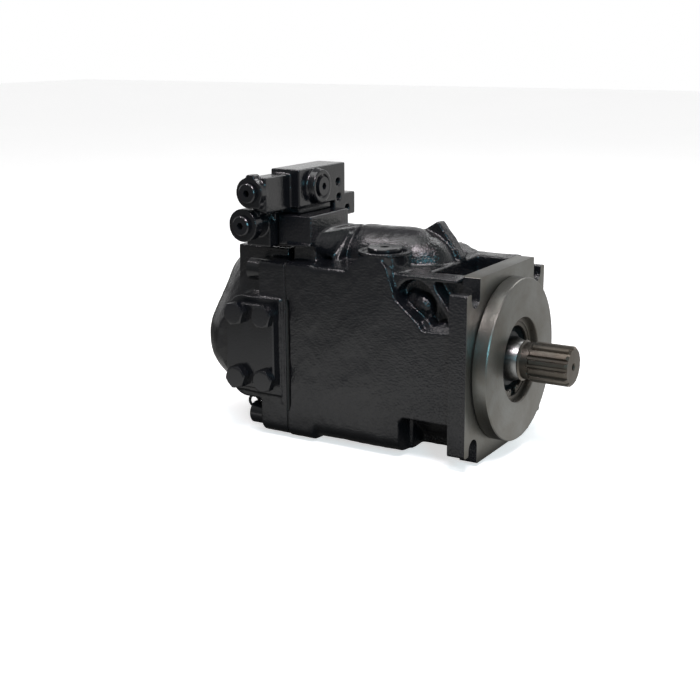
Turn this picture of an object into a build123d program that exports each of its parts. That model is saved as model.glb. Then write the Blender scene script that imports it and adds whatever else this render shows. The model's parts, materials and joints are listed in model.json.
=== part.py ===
from build123d import *
import math
import os

# Axial piston pump, variable displacement, with pressure and load-sensing control.
# Frame: origin on the drive axis at the mounting face of the flange, +X out along the
# drive shaft (front), +Z up.  The near side is -Y, the far side +Y.  Millimetres.
# Name endings: _R radius, _T thickness, _X _Y _Z place along that axis.
# Plane.YZ sketches read (y, z), Plane.XZ sketches (x, z) with their normal along -Y.

os.makedirs("parts", exist_ok=True)

# ------------------------------------------------------------------ shared dimensions
# mounting flange, four-bolt, 127 mm pilot
FLANGE_T = 14.2
FLANGE_HALF_Y = 72.0
FLANGE_HALF_Z = 71.2        # half height between the slots
LUG_HALF_Z = 61.6           # half height of the corner lugs
SLOT_WIDTH = 14.3           # open bolt slots
BOLT_SQUARE = 114.5
SLOT_CENTRE = BOLT_SQUARE / 2
SLOT_CUT = 20.0             # length of the cut that opens each slot
PILOT_R = 127.0 / 2
PILOT_LENGTH = 12.7

# housing
SEAM_X = -160.0             # rear face
BODY_HALF_Y = 66.0
BODY_TOP = 70.0
BODY_BOTTOM = -70.5
JOINT_Z = -0.75             # centre height of the joint faces
JOINT_HEIGHT = 143.5
CAVITY_R = 57.0             # bore around the rotating group
CAVITY_FRONT_X = -50.0
TUBE_Z = 66.0               # servo tube centre height
TUBE_R = 29.0
TUBE_STEP_X = -125.0        # where the tube grows to its full radius
DOME_X = -88.0              # where the tube starts to round over
DOME_LENGTH = 41.0
SERVO_Z = 75.0              # servo bore centre height
SERVO_R = 14.0
SERVO_FRONT_X = -70.5
DRAIN_X, DRAIN_Y, DRAIN_Z = -82.0, -46.0, 84.0   # case-drain boss, centre and top
DRAIN_BOSS_Z = 63.5         # mid height of the boss

# end cap
GASKET_T = 0.6
CAP_FRONT_X = SEAM_X - GASKET_T
CAP_REAR_X = -186.0         # rear face of its bolting flange
CAP_HEIGHT = 142.5
INLET_X = -194.0            # inlet port axis, far side
INLET_BOLTS = (35.7, 69.9)
OUTLET_X, OUTLET_Z = -187.0, 2.0   # outlet port axis, near side
OUTLET_BOLTS = (26.2, 52.4)
PAD_ROOT_Y = 50.0           # port pads, distances from the centre plane
PAD_FACE_Y = 68.5
PORT_CUT_Y = 70.0           # port cuts start here, outside the pads
LOWER_PLUG = (-172, -30)    # x, y
SCREW_Y = 56.0
SCREW_TOP_Z = 61.0
SCREW_BOTTOM_Z = -59.0
CAP_SCREWS = [(SCREW_Y, SCREW_TOP_Z), (-SCREW_Y, SCREW_TOP_Z),
              (SCREW_Y, SCREW_BOTTOM_Z), (-SCREW_Y, SCREW_BOTTOM_Z)]
CAP_SCREW_CLEARANCE_R = 6.6

# mechanism
PIVOT_X = -78.0             # swash pivot, on the shaft axis, in the ball-centre plane
SWASH_ANGLE = 17.0          # full stroke, degrees
BORE_PITCH_R = 38.0         # pitch radius of the block bores
KIDNEY_PITCH_R = BORE_PITCH_R - 1
BALL_PITCH_R = 38.85        # pitch radius of the piston balls on the swash
PISTON_COUNT = 9
PISTON_R = 9.6
BORE_R = 10.6
BALL_R = 8.0
BLOCK_R = 52.0
BLOCK_FRONT_X = -99.0
BLOCK_REAR_X = -152.5
BLOCK_TEETH = 18            # spline between shaft and block
VALVE_PLATE_X = -152.6      # front face of the valve plate
ARM_X, ARM_Z = 14.0, 75.0   # swash arm ball, along the swash normal and up the swash
ARM_BALL_R = 7.0

SWASH_SIN = math.sin(math.radians(SWASH_ANGLE))
SWASH_COS = math.cos(math.radians(SWASH_ANGLE))

# Swash frame: local Z is the swash normal, pointing at the drive flange; local X is the
# tilt axis, along Y; local Y points up when the swash is upright.
SWASH = Plane(origin=(PIVOT_X, 0, 0), x_dir=(0, 1, 0), z_dir=(SWASH_COS, 0, SWASH_SIN))

# control valve
COMP_X, COMP_Z = -172.0, 127.0     # pressure-compensator spool axis, along Y
COMP_ROOT_Y, COMP_END_Y = -86.5, -95.0   # end disc of its barrel
COMP_BORE_R = 3.5
SENSE_X, SENSE_Z = -180.0, 101.6   # load-sensing spool axis, along Y
SENSE_ROOT_Y, SENSE_END_Y = -83.5, -93.0
SENSE_BORE_R = 4.0
BOSS_CENTRE = (-32.0, 127.3)       # port boss on the front face, y and z
BOSS_SEAT_X = -146.6
CONTROL_REAR_X = -193.0
CONTROL_SCREWS = [(-52, 88.5), (-16, 88.5)]           # y, z
ORIFICES = [(1.2, 127), (15.5, 104), (2.4, 114.6)]    # y, z


# ------------------------------------------------------------------ helpers
def save(part, name):
    part.label = name
    export_step(part, f"parts/{name}.step")


def corners(across, up):
    """The four corners of a rectangle, from its half sizes."""
    return [(across, up), (-across, up), (across, -up), (-across, -up)]


def turned_ring(name, profile):
    """Ring about the drive axis, from (x, radius) points."""
    with BuildPart() as ring:
        with BuildSketch(Plane.XZ):
            with BuildLine():
                Polyline(*profile, close=True)
            make_face()
        revolve(axis=Axis.X)
    save(ring.part, name)


def flat_ring(name, plane, centre, outer_r, inner_r, thickness):
    with BuildPart() as ring:
        with BuildSketch(plane):
            with Locations(centre):
                Circle(outer_r)
                Circle(inner_r, mode=Mode.SUBTRACT)
        extrude(amount=thickness)
    save(ring.part, name)


def coil_spring(name, start, direction, radius, pitch, wire_r, coils=4):
    with BuildPart() as spring:
        with BuildLine() as coil:
            Helix(pitch, coils * pitch, radius, center=start, direction=direction)
        with BuildSketch(Plane(origin=coil.line @ 0, z_dir=coil.line % 0)):
            Circle(wire_r)
        sweep(is_frenet=True)
    save(spring.part, name)


def socket_screws(name, points, seat_x, head_r, head_length, shank_r, shank_length,
                  socket_r, socket_depth):
    """Socket-head screws along X, with their heads to the rear of seat_x."""
    with BuildPart() as screws:
        with BuildSketch(Plane.YZ.offset(seat_x - head_length)):
            with Locations(*points):
                Circle(head_r)
        extrude(amount=head_length)
        with BuildSketch(Plane.YZ.offset(seat_x - 0.5)):
            with Locations(*points):
                Circle(shank_r)
        extrude(amount=shank_length)
        with BuildSketch(Plane.YZ.offset(seat_x - head_length)):
            with Locations(*points):
                RegularPolygon(socket_r, 6, major_radius=False)
        extrude(amount=socket_depth, mode=Mode.SUBTRACT)
    save(screws.part, name)


def socket_plug(name, seat, centre, head_r, head_t, thread_r, thread_length, overlap,
                socket_r, socket_depth, edge=0.0):
    """Headed plug: the head stands on the seat plane, the thread goes down through it."""
    with BuildPart() as plug:
        with BuildSketch(seat):
            with Locations(centre):
                Circle(head_r)
        extrude(amount=head_t)
        with BuildSketch(seat.offset(overlap)):
            with Locations(centre):
                Circle(thread_r)
        extrude(amount=-thread_length)
        with BuildSketch(seat.offset(head_t)):
            with Locations(centre):
                RegularPolygon(socket_r, 6, major_radius=False)
        extrude(amount=-socket_depth, mode=Mode.SUBTRACT)
        if edge:
            head_face = plug.faces().sort_by(Axis(seat.origin, seat.z_dir))[-1]
            chamfer(head_face.outer_wire().edges(), edge)
    save(plug.part, name)


def adjuster(name, x, z, end_y):
    """Threaded plug with a raised socket head that closes a spool barrel."""
    socket_plug(name, Plane.XZ.offset(-end_y), (x, z), head_r=7.6, head_t=3.4,
                thread_r=6.55, thread_length=10, overlap=1.0,
                socket_r=2.5, socket_depth=6, edge=0.9)


def spool(name, x, z, land_r, groove_r):
    """Turned rod with two grooves, and a spring seat at its near end."""
    profile = [   # y, radius
        (-69.6, 0), (-69.6, 6.0), (-68.2, 6.0), (-68.2, land_r),
        (-46, land_r), (-46, groove_r), (-40, groove_r), (-40, land_r),
        (-32, land_r), (-32, groove_r), (-26, groove_r), (-26, land_r),
        (-12, land_r), (-12, 0),
    ]
    with BuildPart() as rod:
        with BuildSketch(Plane.YZ.offset(x)):
            with BuildLine():
                Polyline(*[(y, z + radius) for y, radius in profile], close=True)
            make_face()
        revolve(axis=Axis((x, 0, z), (0, 1, 0)))
    save(rod.part, name)


# ================================================================== HOUSING
# outlines in x, z
LUG_OUTLINE = [(-65.5, 100), (-81.5, 89.5), (-75, 60), (-47, 60), (-42.5, 71)]
GROOVE_OUTLINE = [(SEAM_X - 1, 40.5), (SEAM_X + 3.2, 40.5), (SEAM_X + 3.2, -44),
                  (SEAM_X + 1.5, -50), (SEAM_X - 1, -50)]
# outline in y, z
RIB_OUTLINE = [(-8, 90), (-20.5, 89.5), (-36.5, 75.5), (-41, 69), (-8, 69)]

# Corner windows behind the flange, cut outward on both sides:
# inner distance from the centre plane, depth, circles (x, z, radius), outline (x, z)
WINDOWS = [
    # upper: a shallow step down from the side face
    (60, 22, [],
     [(-73.5, 95), (-72.5, 78.5), (-68.9, 73.2), (-66.0, 63.4), (-61.8, 51.8),
      (-45.0, 39.4), (-39.3, 30.0), (-FLANGE_T, 30.6), (-FLANGE_T, 95)]),
    # a deeper scoop under an arched rim
    (47.5, 26, [(-49.0, 50.8, 15.5)],
     [(-60, 41.2), (-41.5, 42.5), (-34.5, 33.6), (-21, 33.6), (-22, 40.5), (-38, 61),
      (-49, 52)]),
    # the hollow next to the flange
    (46, 26, [],
     [(-33.5, 66.5), (-31, 60.5), (-19.5, 45.5), (-FLANGE_T, 44), (-FLANGE_T, 66.5)]),
    # open above the arch beside the tube end
    (50, 22, [],
     [(-73, 95), (-66, 76), (-58, 71.5), (-39, 71.5), (-37, 95)]),
    # lower corner
    (46, 26, [],
     [(-59, -80), (-59, -44), (-55, -40), (-FLANGE_T, -40), (-FLANGE_T, -80)]),
    # lower edge, reaching further in
    (28, 44, [],
     [(-56, -80), (-56, -61.5), (-FLANGE_T, -61.5), (-FLANGE_T, -80)]),
]

# rounded knuckle inside the upper scoop: x and z of its two ends
KNUCKLE_REAR = (-53.5, 50.5)
KNUCKLE_FRONT = (-43, 43)
KNUCKLE_DX = KNUCKLE_FRONT[0] - KNUCKLE_REAR[0]
KNUCKLE_DZ = KNUCKLE_FRONT[1] - KNUCKLE_REAR[1]
KNUCKLE_Y = 46.5
KNUCKLE_R = 7.0

# bores about the drive axis at the front: rear end x, radius, length
BEARING_SEAT_R = 36.0
FRONT_BORES = [
    (-37, BEARING_SEAT_R, 28),   # front bearing seat
    (-10, 25, 24),               # shaft passage
    (-4, 29, 20),                # seal seat
    (7.7, 33, 10),               # recess in the pilot
]

TUBE_AXIS = Axis((0, 0, TUBE_Z), (1, 0, 0))

# quarter ellipse that is turned into the domed front end of the servo tube
with BuildSketch(Plane.XZ) as dome_profile:
    with Locations((DOME_X, TUBE_Z)):
        Ellipse(DOME_LENGTH, TUBE_R)
    with Locations((DOME_X - 50, TUBE_Z), (DOME_X, TUBE_Z - 50)):
        Rectangle(100, 100, mode=Mode.SUBTRACT)

with BuildPart() as housing:
    # main body, running 2 mm into the flange
    with BuildSketch(Plane.YZ.offset(SEAM_X)) as body_section:
        with Locations((0, (BODY_TOP + BODY_BOTTOM) / 2)):
            Rectangle(2 * BODY_HALF_Y, BODY_TOP - BODY_BOTTOM)
        fillet(body_section.vertices().group_by(Axis.Y)[0], 15)
        fillet(body_section.vertices().group_by(Axis.Y)[-1], 4)
    extrude(amount=-SEAM_X - FLANGE_T + 2)
    # joint flange at the rear
    with BuildSketch(Plane.YZ.offset(SEAM_X)) as joint_section:
        with Locations((0, JOINT_Z)):
            Rectangle(2 * BODY_HALF_Y, JOINT_HEIGHT)
        fillet(joint_section.vertices().group_by(Axis.Y)[0], 9)
        fillet(joint_section.vertices().group_by(Axis.Y)[-1], 4)
    extrude(amount=-136 - SEAM_X)
    # servo tube with its domed front end
    with BuildSketch(Plane.YZ.offset(SEAM_X)):
        with Locations((0, TUBE_Z)):
            Circle(TUBE_R - 1.2)
    extrude(amount=40)
    with BuildSketch(Plane.YZ.offset(TUBE_STEP_X)):
        with Locations((0, TUBE_Z)):
            Circle(TUBE_R)
    extrude(amount=DOME_X - TUBE_STEP_X)
    revolve(dome_profile.sketch, axis=TUBE_AXIS)
    # shoulder carrying the dome down to the body
    with BuildSketch(Plane.XY.offset(40)):
        with Locations((DOME_X - 12.5, 0)):
            Rectangle(25, 2 * TUBE_R)
        with Locations((DOME_X, 0)):
            Ellipse(DOME_LENGTH, TUBE_R)
    extrude(amount=TUBE_Z - 40)
    # pad that carries the control valve
    with Locations((-154.5, -32, 95)):
        Box(31, 56, 24)
    with Locations((-149.5, -33, 76)):
        Box(21, 59, 18)
    # stiffening rib on the near side of the tube
    with BuildSketch(Plane.YZ.offset(-133.5)):
        with BuildLine():
            Polyline(*RIB_OUTLINE, close=True)
        make_face()
    extrude(amount=6)
    # case-drain boss: upright cylinder blended into an arch on the near side
    with Locations((DRAIN_X, DRAIN_Y, DRAIN_BOSS_Z)):
        Cylinder(20.0, 2 * (DRAIN_Z - DRAIN_BOSS_Z))
    with BuildSketch(Plane.XZ.offset(-DRAIN_Y)):
        with Locations((-85.3, 61.0)):
            Circle(20.8)
    extrude(amount=20)
    # arch on the far side
    with BuildSketch(Plane.XZ.offset(-BODY_HALF_Y)):
        with Locations((-68, 55)):
            Circle(20.5)
    extrude(amount=22)
    # five-sided lug standing on the far side of the dome
    with BuildSketch(Plane.XZ.offset(-9)):
        with BuildLine():
            Polyline(*LUG_OUTLINE, close=True)
        make_face()
    extrude(amount=-12)
    # mounting flange: notched above and below the lugs, with open bolt slots
    with BuildSketch(Plane.YZ.offset(-FLANGE_T)):
        Rectangle(2 * FLANGE_HALF_Y, 2 * FLANGE_HALF_Z)
        with Locations(*corners(FLANGE_HALF_Y - 6, FLANGE_HALF_Z)):
            Rectangle(17.4, 2 * (FLANGE_HALF_Z - LUG_HALF_Z), mode=Mode.SUBTRACT)
        with Locations(*corners(SLOT_CENTRE, SLOT_CENTRE + SLOT_CUT / 2)):
            Rectangle(SLOT_WIDTH, SLOT_CUT, mode=Mode.SUBTRACT)
        with Locations(*corners(SLOT_CENTRE, SLOT_CENTRE)):
            Circle(SLOT_WIDTH / 2, mode=Mode.SUBTRACT)
    extrude(amount=FLANGE_T)
    # pilot
    with BuildSketch(Plane.YZ):
        Circle(PILOT_R)
    extrude(amount=PILOT_LENGTH)
    # corner windows, near side then far side
    for side in (-1, 1):
        for inner_y, depth, circles, outline in WINDOWS:
            with BuildSketch(Plane.XZ.offset(-side * inner_y)):
                for circle_x, circle_z, circle_r in circles:
                    with Locations((circle_x, circle_z)):
                        Circle(circle_r)
                with BuildLine():
                    Polyline(*outline, close=True)
                make_face()
            extrude(amount=-side * depth, mode=Mode.SUBTRACT)
        # knuckle: a rod with two ball ends
        with Locations((KNUCKLE_REAR[0], side * KNUCKLE_Y, KNUCKLE_REAR[1]),
                       (KNUCKLE_FRONT[0], side * KNUCKLE_Y, KNUCKLE_FRONT[1])):
            Sphere(KNUCKLE_R)
        with BuildSketch(Plane(origin=(KNUCKLE_REAR[0], side * KNUCKLE_Y, KNUCKLE_REAR[1]),
                               z_dir=(KNUCKLE_DX, 0, KNUCKLE_DZ))):
            Circle(KNUCKLE_R)
        extrude(amount=math.hypot(KNUCKLE_DX, KNUCKLE_DZ))
    # well on top between the two upper ribs; the dome is then restored inside it
    with Locations((-29.6, 0, 66)):
        Box(30.8, 80, 20, mode=Mode.SUBTRACT)
    revolve(dome_profile.sketch, axis=TUBE_AXIS)
    # cavity around the rotating group, narrower at its front
    with BuildSketch(Plane.YZ.offset(SEAM_X)):
        Circle(CAVITY_R)
    extrude(amount=CAVITY_FRONT_X - SEAM_X, mode=Mode.SUBTRACT)
    with BuildSketch(Plane.YZ.offset(CAVITY_FRONT_X)):
        Circle(50.5)
    extrude(amount=14, mode=Mode.SUBTRACT)
    # cradle saddles
    with Locations((-39, 37.5, 0), (-39, -37.5, 0)):
        Box(14, 21, 60)
    with Locations((PIVOT_X, 0, 0)):
        Cylinder(40.1, 97, rotation=(90, 0, 0), mode=Mode.SUBTRACT)
    for bore_x, bore_r, bore_length in FRONT_BORES:
        with BuildSketch(Plane.YZ.offset(bore_x)):
            Circle(bore_r)
        extrude(amount=bore_length, mode=Mode.SUBTRACT)
    # servo bore and the slot for the swash arm
    with BuildSketch(Plane.YZ.offset(SEAM_X)):
        with Locations((0, SERVO_Z)):
            Circle(SERVO_R)
    extrude(amount=SERVO_FRONT_X - SEAM_X, mode=Mode.SUBTRACT)
    with BuildSketch(Plane.XZ.offset(-8.75)):
        with Locations((-80.5, 62)):
            Rectangle(33, 44)
        with Locations((-61.0, 57.5)):
            Rectangle(8, 35)
        with Locations((-64.0, SERVO_Z)):
            Circle(8.4)
    extrude(amount=17.5, mode=Mode.SUBTRACT)
    # relief groove along the joint on the near side
    with BuildSketch(Plane.XZ.offset(63)):
        with BuildLine():
            Polyline(*GROOVE_OUTLINE, close=True)
        make_face()
    extrude(amount=12, mode=Mode.SUBTRACT)
    # threaded holes for the end-cap screws
    with BuildSketch(Plane.YZ.offset(SEAM_X)):
        with Locations(*CAP_SCREWS):
            Circle(6.0)
    extrude(amount=22, mode=Mode.SUBTRACT)
    # case-drain port: seal recess, thread, then an offset passage
    for recess_r, recess_depth in ((16.8, 2.6), (11, 22)):
        with BuildSketch(Plane.XY.offset(DRAIN_Z)):
            with Locations((DRAIN_X, DRAIN_Y)):
                Circle(recess_r)
        extrude(amount=-recess_depth, mode=Mode.SUBTRACT)
    with BuildSketch(Plane.XY.offset(64)):
        with Locations((DRAIN_X, DRAIN_Y + 2.5)):
            Circle(5)
    extrude(amount=-40, mode=Mode.SUBTRACT)
    # screw holes in the rear of the control pad
    with BuildSketch(Plane.YZ.offset(-170)):
        with Locations(*CONTROL_SCREWS):
            Circle(4.2)
    extrude(amount=20, mode=Mode.SUBTRACT)
save(housing.part, "housing")

# ================================================================== END CAP
# half-profile of the rounded rear body about an upright axis: radius, height
BELLY_X = -200.0
BELLY = [(0, 66), (28, 65), (41.5, 61), (49, 48.5), (54.8, 34.5), (61, 21.5),
         (66.6, 9), (68.2, 0), (68.1, -8), (67.0, -16), (64.4, -23), (58.5, -32),
         (50, -41), (39, -48.5), (22, -56), (0, -60)]

with BuildPart() as end_cap:
    # bolting flange
    with BuildSketch(Plane.YZ.offset(CAP_REAR_X)) as cap_section:
        with Locations((0, JOINT_Z)):
            Rectangle(2 * BODY_HALF_Y, CAP_HEIGHT)
        fillet(cap_section.vertices().group_by(Axis.Y)[0], 10)
        fillet(cap_section.vertices().group_by(Axis.Y)[-1], 4)
    extrude(amount=CAP_FRONT_X - CAP_REAR_X)
    # rounded rear body
    with BuildSketch(Plane.XZ):
        with BuildLine():
            Spline(*[(BELLY_X - radius, z) for radius, z in BELLY])
            Line((BELLY_X, BELLY[-1][1]), (BELLY_X, BELLY[0][1]))
        make_face()
    revolve(axis=Axis((BELLY_X, 0, 0), (0, 0, 1)))
    # port barrel, from side to side
    with Locations((INLET_X, 0, 0)):
        Cylinder(35, 2 * BODY_HALF_Y, rotation=(90, 0, 0))
    # outlet pad on the near side, inlet pad on the far side
    with BuildSketch(Plane.XZ.offset(PAD_ROOT_Y)) as outlet_pad:
        with Locations((-189.5, -1.5)):
            Rectangle(51, 85)
        fillet(outlet_pad.vertices().group_by(Axis.X)[0], 16)
    extrude(amount=PAD_FACE_Y - PAD_ROOT_Y)
    with BuildSketch(Plane.XZ.offset(-PAD_ROOT_Y)) as inlet_pad:
        with Locations((-193.5, 0)):
            Rectangle(63, 98)
        fillet(inlet_pad.vertices().group_by(Axis.X)[0], 16)
    extrude(amount=PAD_ROOT_Y - PAD_FACE_Y)
    # pedestal below the control valve
    with Locations((-189.5, 0, 62.5)):
        Box(59, 90, 30)
    # keep everything behind the joint face
    with Locations((CAP_FRONT_X + 60, 0, 0)):
        Box(120, 300, 300, mode=Mode.SUBTRACT)
    # clearance for the screw heads, and the screw holes
    with BuildSketch(Plane.YZ.offset(CAP_REAR_X)):
        with Locations(*CAP_SCREWS):
            Circle(10.5)
    extrude(amount=-60, mode=Mode.SUBTRACT)
    with BuildSketch(Plane.YZ.offset(CAP_REAR_X - 1)):
        with Locations(*CAP_SCREWS):
            Circle(CAP_SCREW_CLEARANCE_R)
    extrude(amount=40, mode=Mode.SUBTRACT)
    # outlet port and its bolt holes
    with BuildSketch(Plane.XZ.offset(PORT_CUT_Y)):
        with Locations((OUTLET_X, OUTLET_Z)):
            Circle(12.7)
    extrude(amount=-46, mode=Mode.SUBTRACT)
    with BuildSketch(Plane.XZ.offset(PORT_CUT_Y)):
        with Locations((OUTLET_X, OUTLET_Z)):
            with GridLocations(*OUTLET_BOLTS, 2, 2):
                Circle(4.25)
    extrude(amount=-26, mode=Mode.SUBTRACT)
    # inlet port and its bolt holes
    with BuildSketch(Plane.XZ.offset(-PORT_CUT_Y)):
        with Locations((INLET_X, 0)):
            Circle(19)
    extrude(amount=46, mode=Mode.SUBTRACT)
    with BuildSketch(Plane.XZ.offset(-PORT_CUT_Y)):
        with Locations((INLET_X, 0)):
            with GridLocations(*INLET_BOLTS, 2, 2):
                Circle(5.1)
    extrude(amount=27, mode=Mode.SUBTRACT)
    # round passages from the valve plate face to the ports
    with BuildSketch(Plane.YZ.offset(CAP_FRONT_X)):
        with Locations((-KIDNEY_PITCH_R, 0), (KIDNEY_PITCH_R, 0)):
            Circle(8)
    extrude(amount=INLET_X - CAP_FRONT_X, mode=Mode.SUBTRACT)
    # rear bearing seat and a smaller bore behind it
    for seat_r, seat_depth in ((23.5, 19), (15, 24)):
        with BuildSketch(Plane.YZ.offset(CAP_FRONT_X)):
            Circle(seat_r)
        extrude(amount=-seat_depth, mode=Mode.SUBTRACT)
    # seat of the lower plug, on the underside
    with BuildSketch(Plane.XY.offset(-75)):
        with Locations(LOWER_PLUG):
            Circle(7)
    extrude(amount=20, mode=Mode.SUBTRACT)
save(end_cap.part, "end_cap")

GASKET_INSET = 1.4   # total, over the width and over the height
with BuildPart() as joint_gasket:
    with BuildSketch(Plane.YZ.offset(CAP_FRONT_X)) as gasket_section:
        with Locations((0, JOINT_Z)):
            Rectangle(2 * BODY_HALF_Y - GASKET_INSET, CAP_HEIGHT - GASKET_INSET)
        fillet(gasket_section.vertices().group_by(Axis.Y)[0], 9.5)
        Circle(CAVITY_R, mode=Mode.SUBTRACT)
        with Locations(*CAP_SCREWS):
            Circle(CAP_SCREW_CLEARANCE_R, mode=Mode.SUBTRACT)
    extrude(amount=GASKET_T)
save(joint_gasket.part, "joint_gasket")

socket_screws("end_cap_screws", CAP_SCREWS, CAP_REAR_X, head_r=9, head_length=12,
              shank_r=5.95, shank_length=46, socket_r=5.0, socket_depth=6)

# ================================================================== OUTLET COVER
COVER_T = 6.0
BOLT_DX, BOLT_DZ = OUTLET_BOLTS[0] / 2, OUTLET_BOLTS[1] / 2

with BuildPart() as port_cover:
    with BuildSketch(Plane.XZ.offset(PAD_FACE_Y)) as cover_section:
        with Locations((-189.8, 1.5)):
            Rectangle(46, 69.5)
        fillet(cover_section.vertices(), 9.5)
    extrude(amount=COVER_T)
    with BuildSketch(Plane.XZ.offset(PORT_CUT_Y)):
        with Locations((OUTLET_X, OUTLET_Z)):
            with GridLocations(*OUTLET_BOLTS, 2, 2):
                Circle(5.5)
    extrude(amount=10, both=True, mode=Mode.SUBTRACT)
    # O-ring groove on its inner face
    with BuildSketch(Plane.XZ.offset(PAD_FACE_Y)):
        with Locations((OUTLET_X, OUTLET_Z)):
            Circle(18.2)
            Circle(14.2, mode=Mode.SUBTRACT)
    extrude(amount=2.6, mode=Mode.SUBTRACT)
    # outer face, around its rim
    chamfer(port_cover.faces().sort_by(Axis.Y)[0].outer_wire().edges(), 1.1)
save(port_cover.part, "port_cover")

flat_ring("port_cover_seal", Plane.XZ.offset(PAD_FACE_Y), (OUTLET_X, OUTLET_Z),
          outer_r=18.0, inner_r=14.4, thickness=2.4)

# triangle that turns down the corners of a bolt head: distance out from the pad, radius;
# the first two points share the outermost distance
HEAD_TURN = [(13.6, 7.6), (13.6, 12), (11.9, 12), (11.9, 10.3)]

with BuildPart() as port_cover_bolts:
    # flange, then hexagon head
    with BuildSketch(Plane.XZ.offset(PAD_FACE_Y + COVER_T)):
        with Locations((OUTLET_X, OUTLET_Z)):
            with GridLocations(*OUTLET_BOLTS, 2, 2):
                Circle(8.6)
    extrude(amount=1.0)
    with BuildSketch(Plane.XZ.offset(PAD_FACE_Y + COVER_T + 0.5)):
        with Locations((OUTLET_X, OUTLET_Z)):
            with GridLocations(*OUTLET_BOLTS, 2, 2):
                RegularPolygon(8.5, 6, major_radius=False, rotation=12)
    extrude(amount=7.0)
    for bolt_x in (OUTLET_X - BOLT_DX, OUTLET_X + BOLT_DX):
        for bolt_z in (OUTLET_Z - BOLT_DZ, OUTLET_Z + BOLT_DZ):
            with BuildSketch(Plane.YZ.offset(bolt_x)):
                with BuildLine():
                    Polyline(*[(-PAD_FACE_Y - out, bolt_z + radius)
                               for out, radius in HEAD_TURN], close=True)
                make_face()
            revolve(axis=Axis((bolt_x, 0, bolt_z), (0, 1, 0)), mode=Mode.SUBTRACT)
    # shank
    with BuildSketch(Plane.XZ.offset(PAD_FACE_Y + COVER_T + 0.2)):
        with Locations((OUTLET_X, OUTLET_Z)):
            with GridLocations(*OUTLET_BOLTS, 2, 2):
                Circle(4.2)
    extrude(amount=-27)
save(port_cover_bolts.part, "port_cover_bolts")

# ================================================================== PLUGS AND TETHER RING
socket_plug("drain_plug", Plane.XY.offset(DRAIN_Z - 1.0), (DRAIN_X, DRAIN_Y),
            head_r=13.2, head_t=3.6, thread_r=10.9, thread_length=18, overlap=0.5,
            socket_r=3.2, socket_depth=9, edge=0.7)
flat_ring("drain_plug_seal", Plane.XY.offset(DRAIN_Z - 2.55), (DRAIN_X, DRAIN_Y),
          outer_r=13.6, inner_r=11.0, thickness=1.5)

# plug on the underside of the end cap, head down
LOWER_HEAD_Z = -74.6
with BuildPart() as lower_plug:
    with BuildSketch(Plane.XY.offset(LOWER_HEAD_Z)):
        with Locations(LOWER_PLUG):
            Circle(9.5)
    extrude(amount=2.5)
    with BuildSketch(Plane.XY.offset(-72.5)):
        with Locations(LOWER_PLUG):
            Circle(6.9)
    extrude(amount=14)
    with BuildSketch(Plane.XY.offset(LOWER_HEAD_Z)):
        with Locations(LOWER_PLUG):
            RegularPolygon(3.0, 6, major_radius=False)
    extrude(amount=6, mode=Mode.SUBTRACT)
save(lower_plug.part, "lower_plug")

# small pull ring hooked on a stub behind the bolting flange
RING_X, RING_Y, RING_Z = -204.4, -49.0, -53.0
RING_R = 4.7
with BuildPart() as tether_ring:
    with BuildSketch(Plane(origin=(RING_X - RING_R, RING_Y, RING_Z),
                           x_dir=(1, 0, 0), z_dir=(0, 0, 1))):
        Circle(1.15)
    revolve(axis=Axis((RING_X, RING_Y, RING_Z), (0, 1, 0)))
    with BuildSketch(Plane(origin=(-200.0, -48.8, -51.2), z_dir=(12.8, 11.0, 1.6))):
        Circle(1.3)
    extrude(amount=17.2)
save(tether_ring.part, "tether_ring")

# ================================================================== CONTROL VALVE
# boxes: centre, size
UPPER_BLOCKS = [
    ((-165, -21.8, 127.05), (26, 68.4, 29.5)),   # upper valve block
    ((-165, 12, 107.4), (26, 32, 18.2)),         # its far lug
    ((-164, -30, 110.2), (20, 46, 6.0)),         # narrower foot between block and pad
]
LOWER_BLOCKS = [
    ((-181.8, -30, 97.2), (22.4, 80, 30.2)),     # lower valve body behind the pad
    ((-181.8, -17, 82), (22.4, 54, 8.2)),        # its lower step
    ((-175.0, -43, 110.5), (9, 50, 9)),          # foot that joins it to the block above
]
# web beside the upper barrel: x, z
BARREL_WEB = [(COMP_X, 138.5), (-160.5, 138.2), (-160.5, 111.5), (COMP_X, 113.5)]
BORE_CUT_Y = 100.0   # spool bores are cut from here, beyond the near ends

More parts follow.
